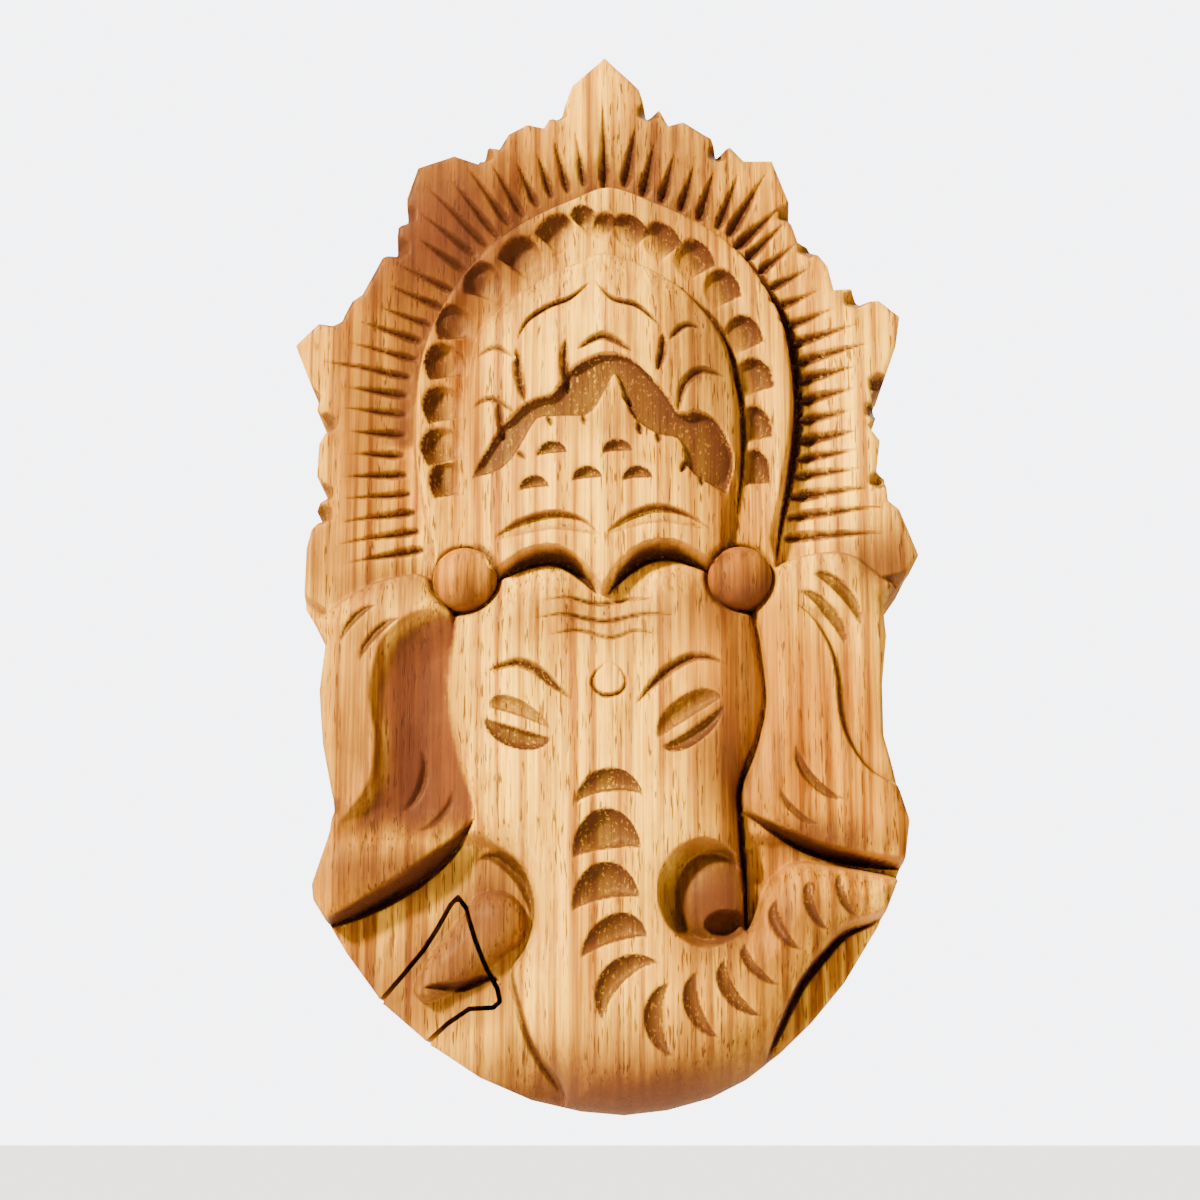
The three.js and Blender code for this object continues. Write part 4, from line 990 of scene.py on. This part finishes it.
# %% Metal
plated_steel = bpy.data.materials.new("zinc-plated steel")
plated_steel.use_nodes = True
plating = plated_steel.node_tree.nodes["Principled BSDF"].inputs
plating["Base Color"].default_value = linear("#C4C1B8")
plating["Metallic"].default_value = 1
plating["Roughness"].default_value = 0.34
print("metal:", plated_steel.name)

# %% [markdown]
# ## Finishing the lid and the key
#
# Both pieces go under the same parting tool with the same lines, so a V that crosses the saw kerf
# lines up on the two sides. Each then takes the place of its plain solid, and moves with the lid or
# with the key.

# %% Cutting the lines in
LID_TRIANGLES, KEY_TRIANGLES = 190000, 24000
for piece, node, most in ((lid, "lid", LID_TRIANGLES), (key, "key", KEY_TRIANGLES)):
    apply_nodes(piece, tool, Lines=pencil, Strength=1.0, Wood=carved_wood)
    thin_out(piece, most)
    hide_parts(node)
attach(lid, "cover")
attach(key, "key")
bpy.data.objects.remove(pencil)
print("lid and key finished in", carved_wood.name)

# %% [markdown]
# ## Temple buttons
#
# The half-round buttons are turned: a profile spun about an axis that points out of the board, with
# a thin step under the dome and a peg below it. Painted shade darkens the lower edge.

# %% Turning the buttons
SEAT = HALO + 1
PEG_RADIUS, PEG_DEPTH = 2.0, 4.0
BUTTON_RADIUS, BUTTON_RISE = 5.25, 4.0


def turned(name, profile, x, z, age, segments=72):
    """Turns a profile of (radius, height) pairs about an axis that points out of the board."""
    verts, faces = [], []
    for i in range(segments):
        a = 2 * math.pi * i / segments
        verts += [((x + r * math.cos(a)) / 1000, -h / 1000, (z + r * math.sin(a)) / 1000)
                  for r, h in profile[1:-1]]
    verts += [(x / 1000, -profile[0][1] / 1000, z / 1000), (x / 1000, -profile[-1][1] / 1000, z / 1000)]
    n = len(profile) - 2
    for i in range(segments):
        j = (i + 1) % segments
        faces += [(i * n + k, j * n + k, j * n + k + 1, i * n + k + 1) for k in range(n - 1)]
        faces += [(segments * n, j * n, i * n), (segments * n + 1, i * n + n - 1, j * n + n - 1)]
    mesh = bpy.data.meshes.new(name)
    mesh.from_pydata(verts, [], faces)
    # How far towards the lower right a point lies: there painted shade darkens the button.
    low = np.array([0.9 * (z - p[2] * 1000) + 0.3 * (p[0] * 1000 - x) for p in verts]) / BUTTON_RADIUS
    tones = (("stain", 0.8 * ease(0.45, 1.0, low)), ("darkened_and_shaded", age + 0.5 * ease(-0.4, 0.8, low)))
    for attribute, values in tones:
        mesh.attributes.new(attribute, "FLOAT", "POINT").data.foreach_set("value", values.astype(np.float32))
    made = bpy.data.objects.new(name, mesh)
    bpy.context.collection.objects.link(made)
    mesh.shade_smooth()
    mesh.set_sharp_from_angle(angle=math.radians(50))
    return made


foot = [(0, SEAT - PEG_DEPTH), (PEG_RADIUS, SEAT - PEG_DEPTH), (PEG_RADIUS, SEAT + 0.2)]
step = [(BUTTON_RADIUS - 0.35, SEAT + 0.2), (BUTTON_RADIUS, SEAT + 0.5)]
dome = [(BUTTON_RADIUS * math.cos(a) ** 0.9, SEAT + 1.5 + BUTTON_RISE * math.sin(a))
        for a in np.linspace(0, math.pi / 2, 24)]
profile = foot + step + dome[:-1] + [(0, dome[-1][1])]
for side, x, z, age in BUTTONS:
    button = turned(side + "_temple_button", profile, x, z, age)
    button.data.materials.append(button_wood)
    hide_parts("button_" + side)
    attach(button, "cover")
    print(button.name, "turned,", len(button.data.polygons), "faces")

# %% [markdown]
# ## The box and its fixings
#
# The hollowed back layer, the screw and the washer keep the exact shapes of the drawing. They only
# need their finishes.

# %% Finishes of the plain pieces
for node, material in (("body", body_wood), ("pivot_screw", plated_steel), ("pivot_washer", plated_steel)):
    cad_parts[node].data.materials.clear()
    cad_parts[node].data.materials.append(material)
    print(node, "is", material.name)

# %% [markdown]
# ## The floor and the air
#
# The mask hangs over a wide pale floor against a pale backdrop. To the camera both are as bright as
# paper; the light they give the wood is much weaker and a little warm, which keeps the cuts deep.

# %% Floor and backdrop
FLOOR_LEVEL, FLOOR_REACH = -0.3, 60
corners = [(x * FLOOR_REACH, y * FLOOR_REACH, FLOOR_LEVEL) for x, y in ((-1, -1), (1, -1), (1, 1), (-1, 1))]
sheet = bpy.data.meshes.new("pale_floor")
sheet.from_pydata(corners, [], [(0, 1, 2, 3)])
floor = bpy.data.objects.new("pale_floor", sheet)
bpy.context.collection.objects.link(floor)
paint = bpy.data.materials.new("pale_floor paint")
paint.use_nodes = True
coat = paint.node_tree.nodes["Principled BSDF"].inputs
coat["Base Color"].default_value = linear("#F4F3F0")
coat["Emission Color"].default_value = linear("#F4F3F0")
coat["Roughness"].default_value = 0.9
seen = add(paint.node_tree, "ShaderNodeLightPath", out="Is Camera Ray")
glow = add(paint.node_tree, "ShaderNodeMath", (seen, 2.6), operation="MULTIPLY")
paint.node_tree.links.new(glow, coat["Emission Strength"])
sheet.materials.append(paint)

world = bpy.data.worlds.new("pale studio")
world.use_nodes = True
air = world.node_tree.nodes["Background"].inputs
seen = add(world.node_tree, "ShaderNodeLightPath", out="Is Camera Ray")
tone = laid_over(world.node_tree, linear("#FFDCC8"), [("MIX", seen, "#F6F8FF")])
glow = add(world.node_tree, "ShaderNodeMath", (seen, 6.0, 0.24), operation="MULTIPLY_ADD")
world.node_tree.links.new(tone, air["Color"])
world.node_tree.links.new(glow, air["Strength"])
bpy.context.scene.world = world
print("floor at %.0f mm" % (FLOOR_LEVEL * 1000))

# %% [markdown]
# ## Lights
#
# One warm lamp stands at the upper left, small enough to draw clear shadows to the right of the
# ring, the crown and the trunk. The others only lift the sides, the top and the back.

# %% Lights
LAMPS = [
    ("key light", (-0.74, -0.95, 0.66), 0.16, 104, "#FFE6B4"),
    ("side light", (1.5, -0.5, 0.4), 0.9, 7, "#FFE9D2"),
    ("back light", (0.7, 1.3, 1.1), 1.2, 26, "#FFEEDC"),
]
for name, place, size, power, colour in LAMPS:
    lamp = bpy.data.lights.new(name, "AREA")
    lamp.color = linear(colour)[:3]
    lamp.size = size
    lamp.energy = power
    stand = bpy.data.objects.new(name, lamp)
    stand.location = place
    stand.rotation_mode = "QUATERNION"
    stand.rotation_quaternion = (-Vector(place)).to_track_quat("-Z", "Y")
    bpy.context.collection.objects.link(stand)

overhead = bpy.data.lights.new("overhead light", "SUN")
overhead.energy = 1.4
overhead.color = linear("#FFE0C0")[:3]
overhead.angle = math.radians(12)
bpy.context.collection.objects.link(bpy.data.objects.new("overhead light", overhead))
print("lamps:", len(LAMPS), "and one overhead")

# %% [markdown]
# ## The camera
#
# It stands in front and a little below, and looks up at the middle of the mask.

# %% Camera
camera = bpy.data.objects.new("camera", bpy.data.cameras.new("camera"))
camera.data.lens = 70.6
camera.data.clip_start = 0.01
camera.location = (0.00338, -0.4126, -0.0934)
camera.rotation_mode = "QUATERNION"
camera.rotation_quaternion = (Vector((-0.0008, -0.034, -0.007)) - camera.location).to_track_quat("-Z", "Y")
bpy.context.collection.objects.link(camera)
bpy.context.scene.camera = camera
print("camera %.0f mm from the face" % (-camera.location.y * 1000 - 40))

# %% [markdown]
# ## The end

# %% End
print("scene built")
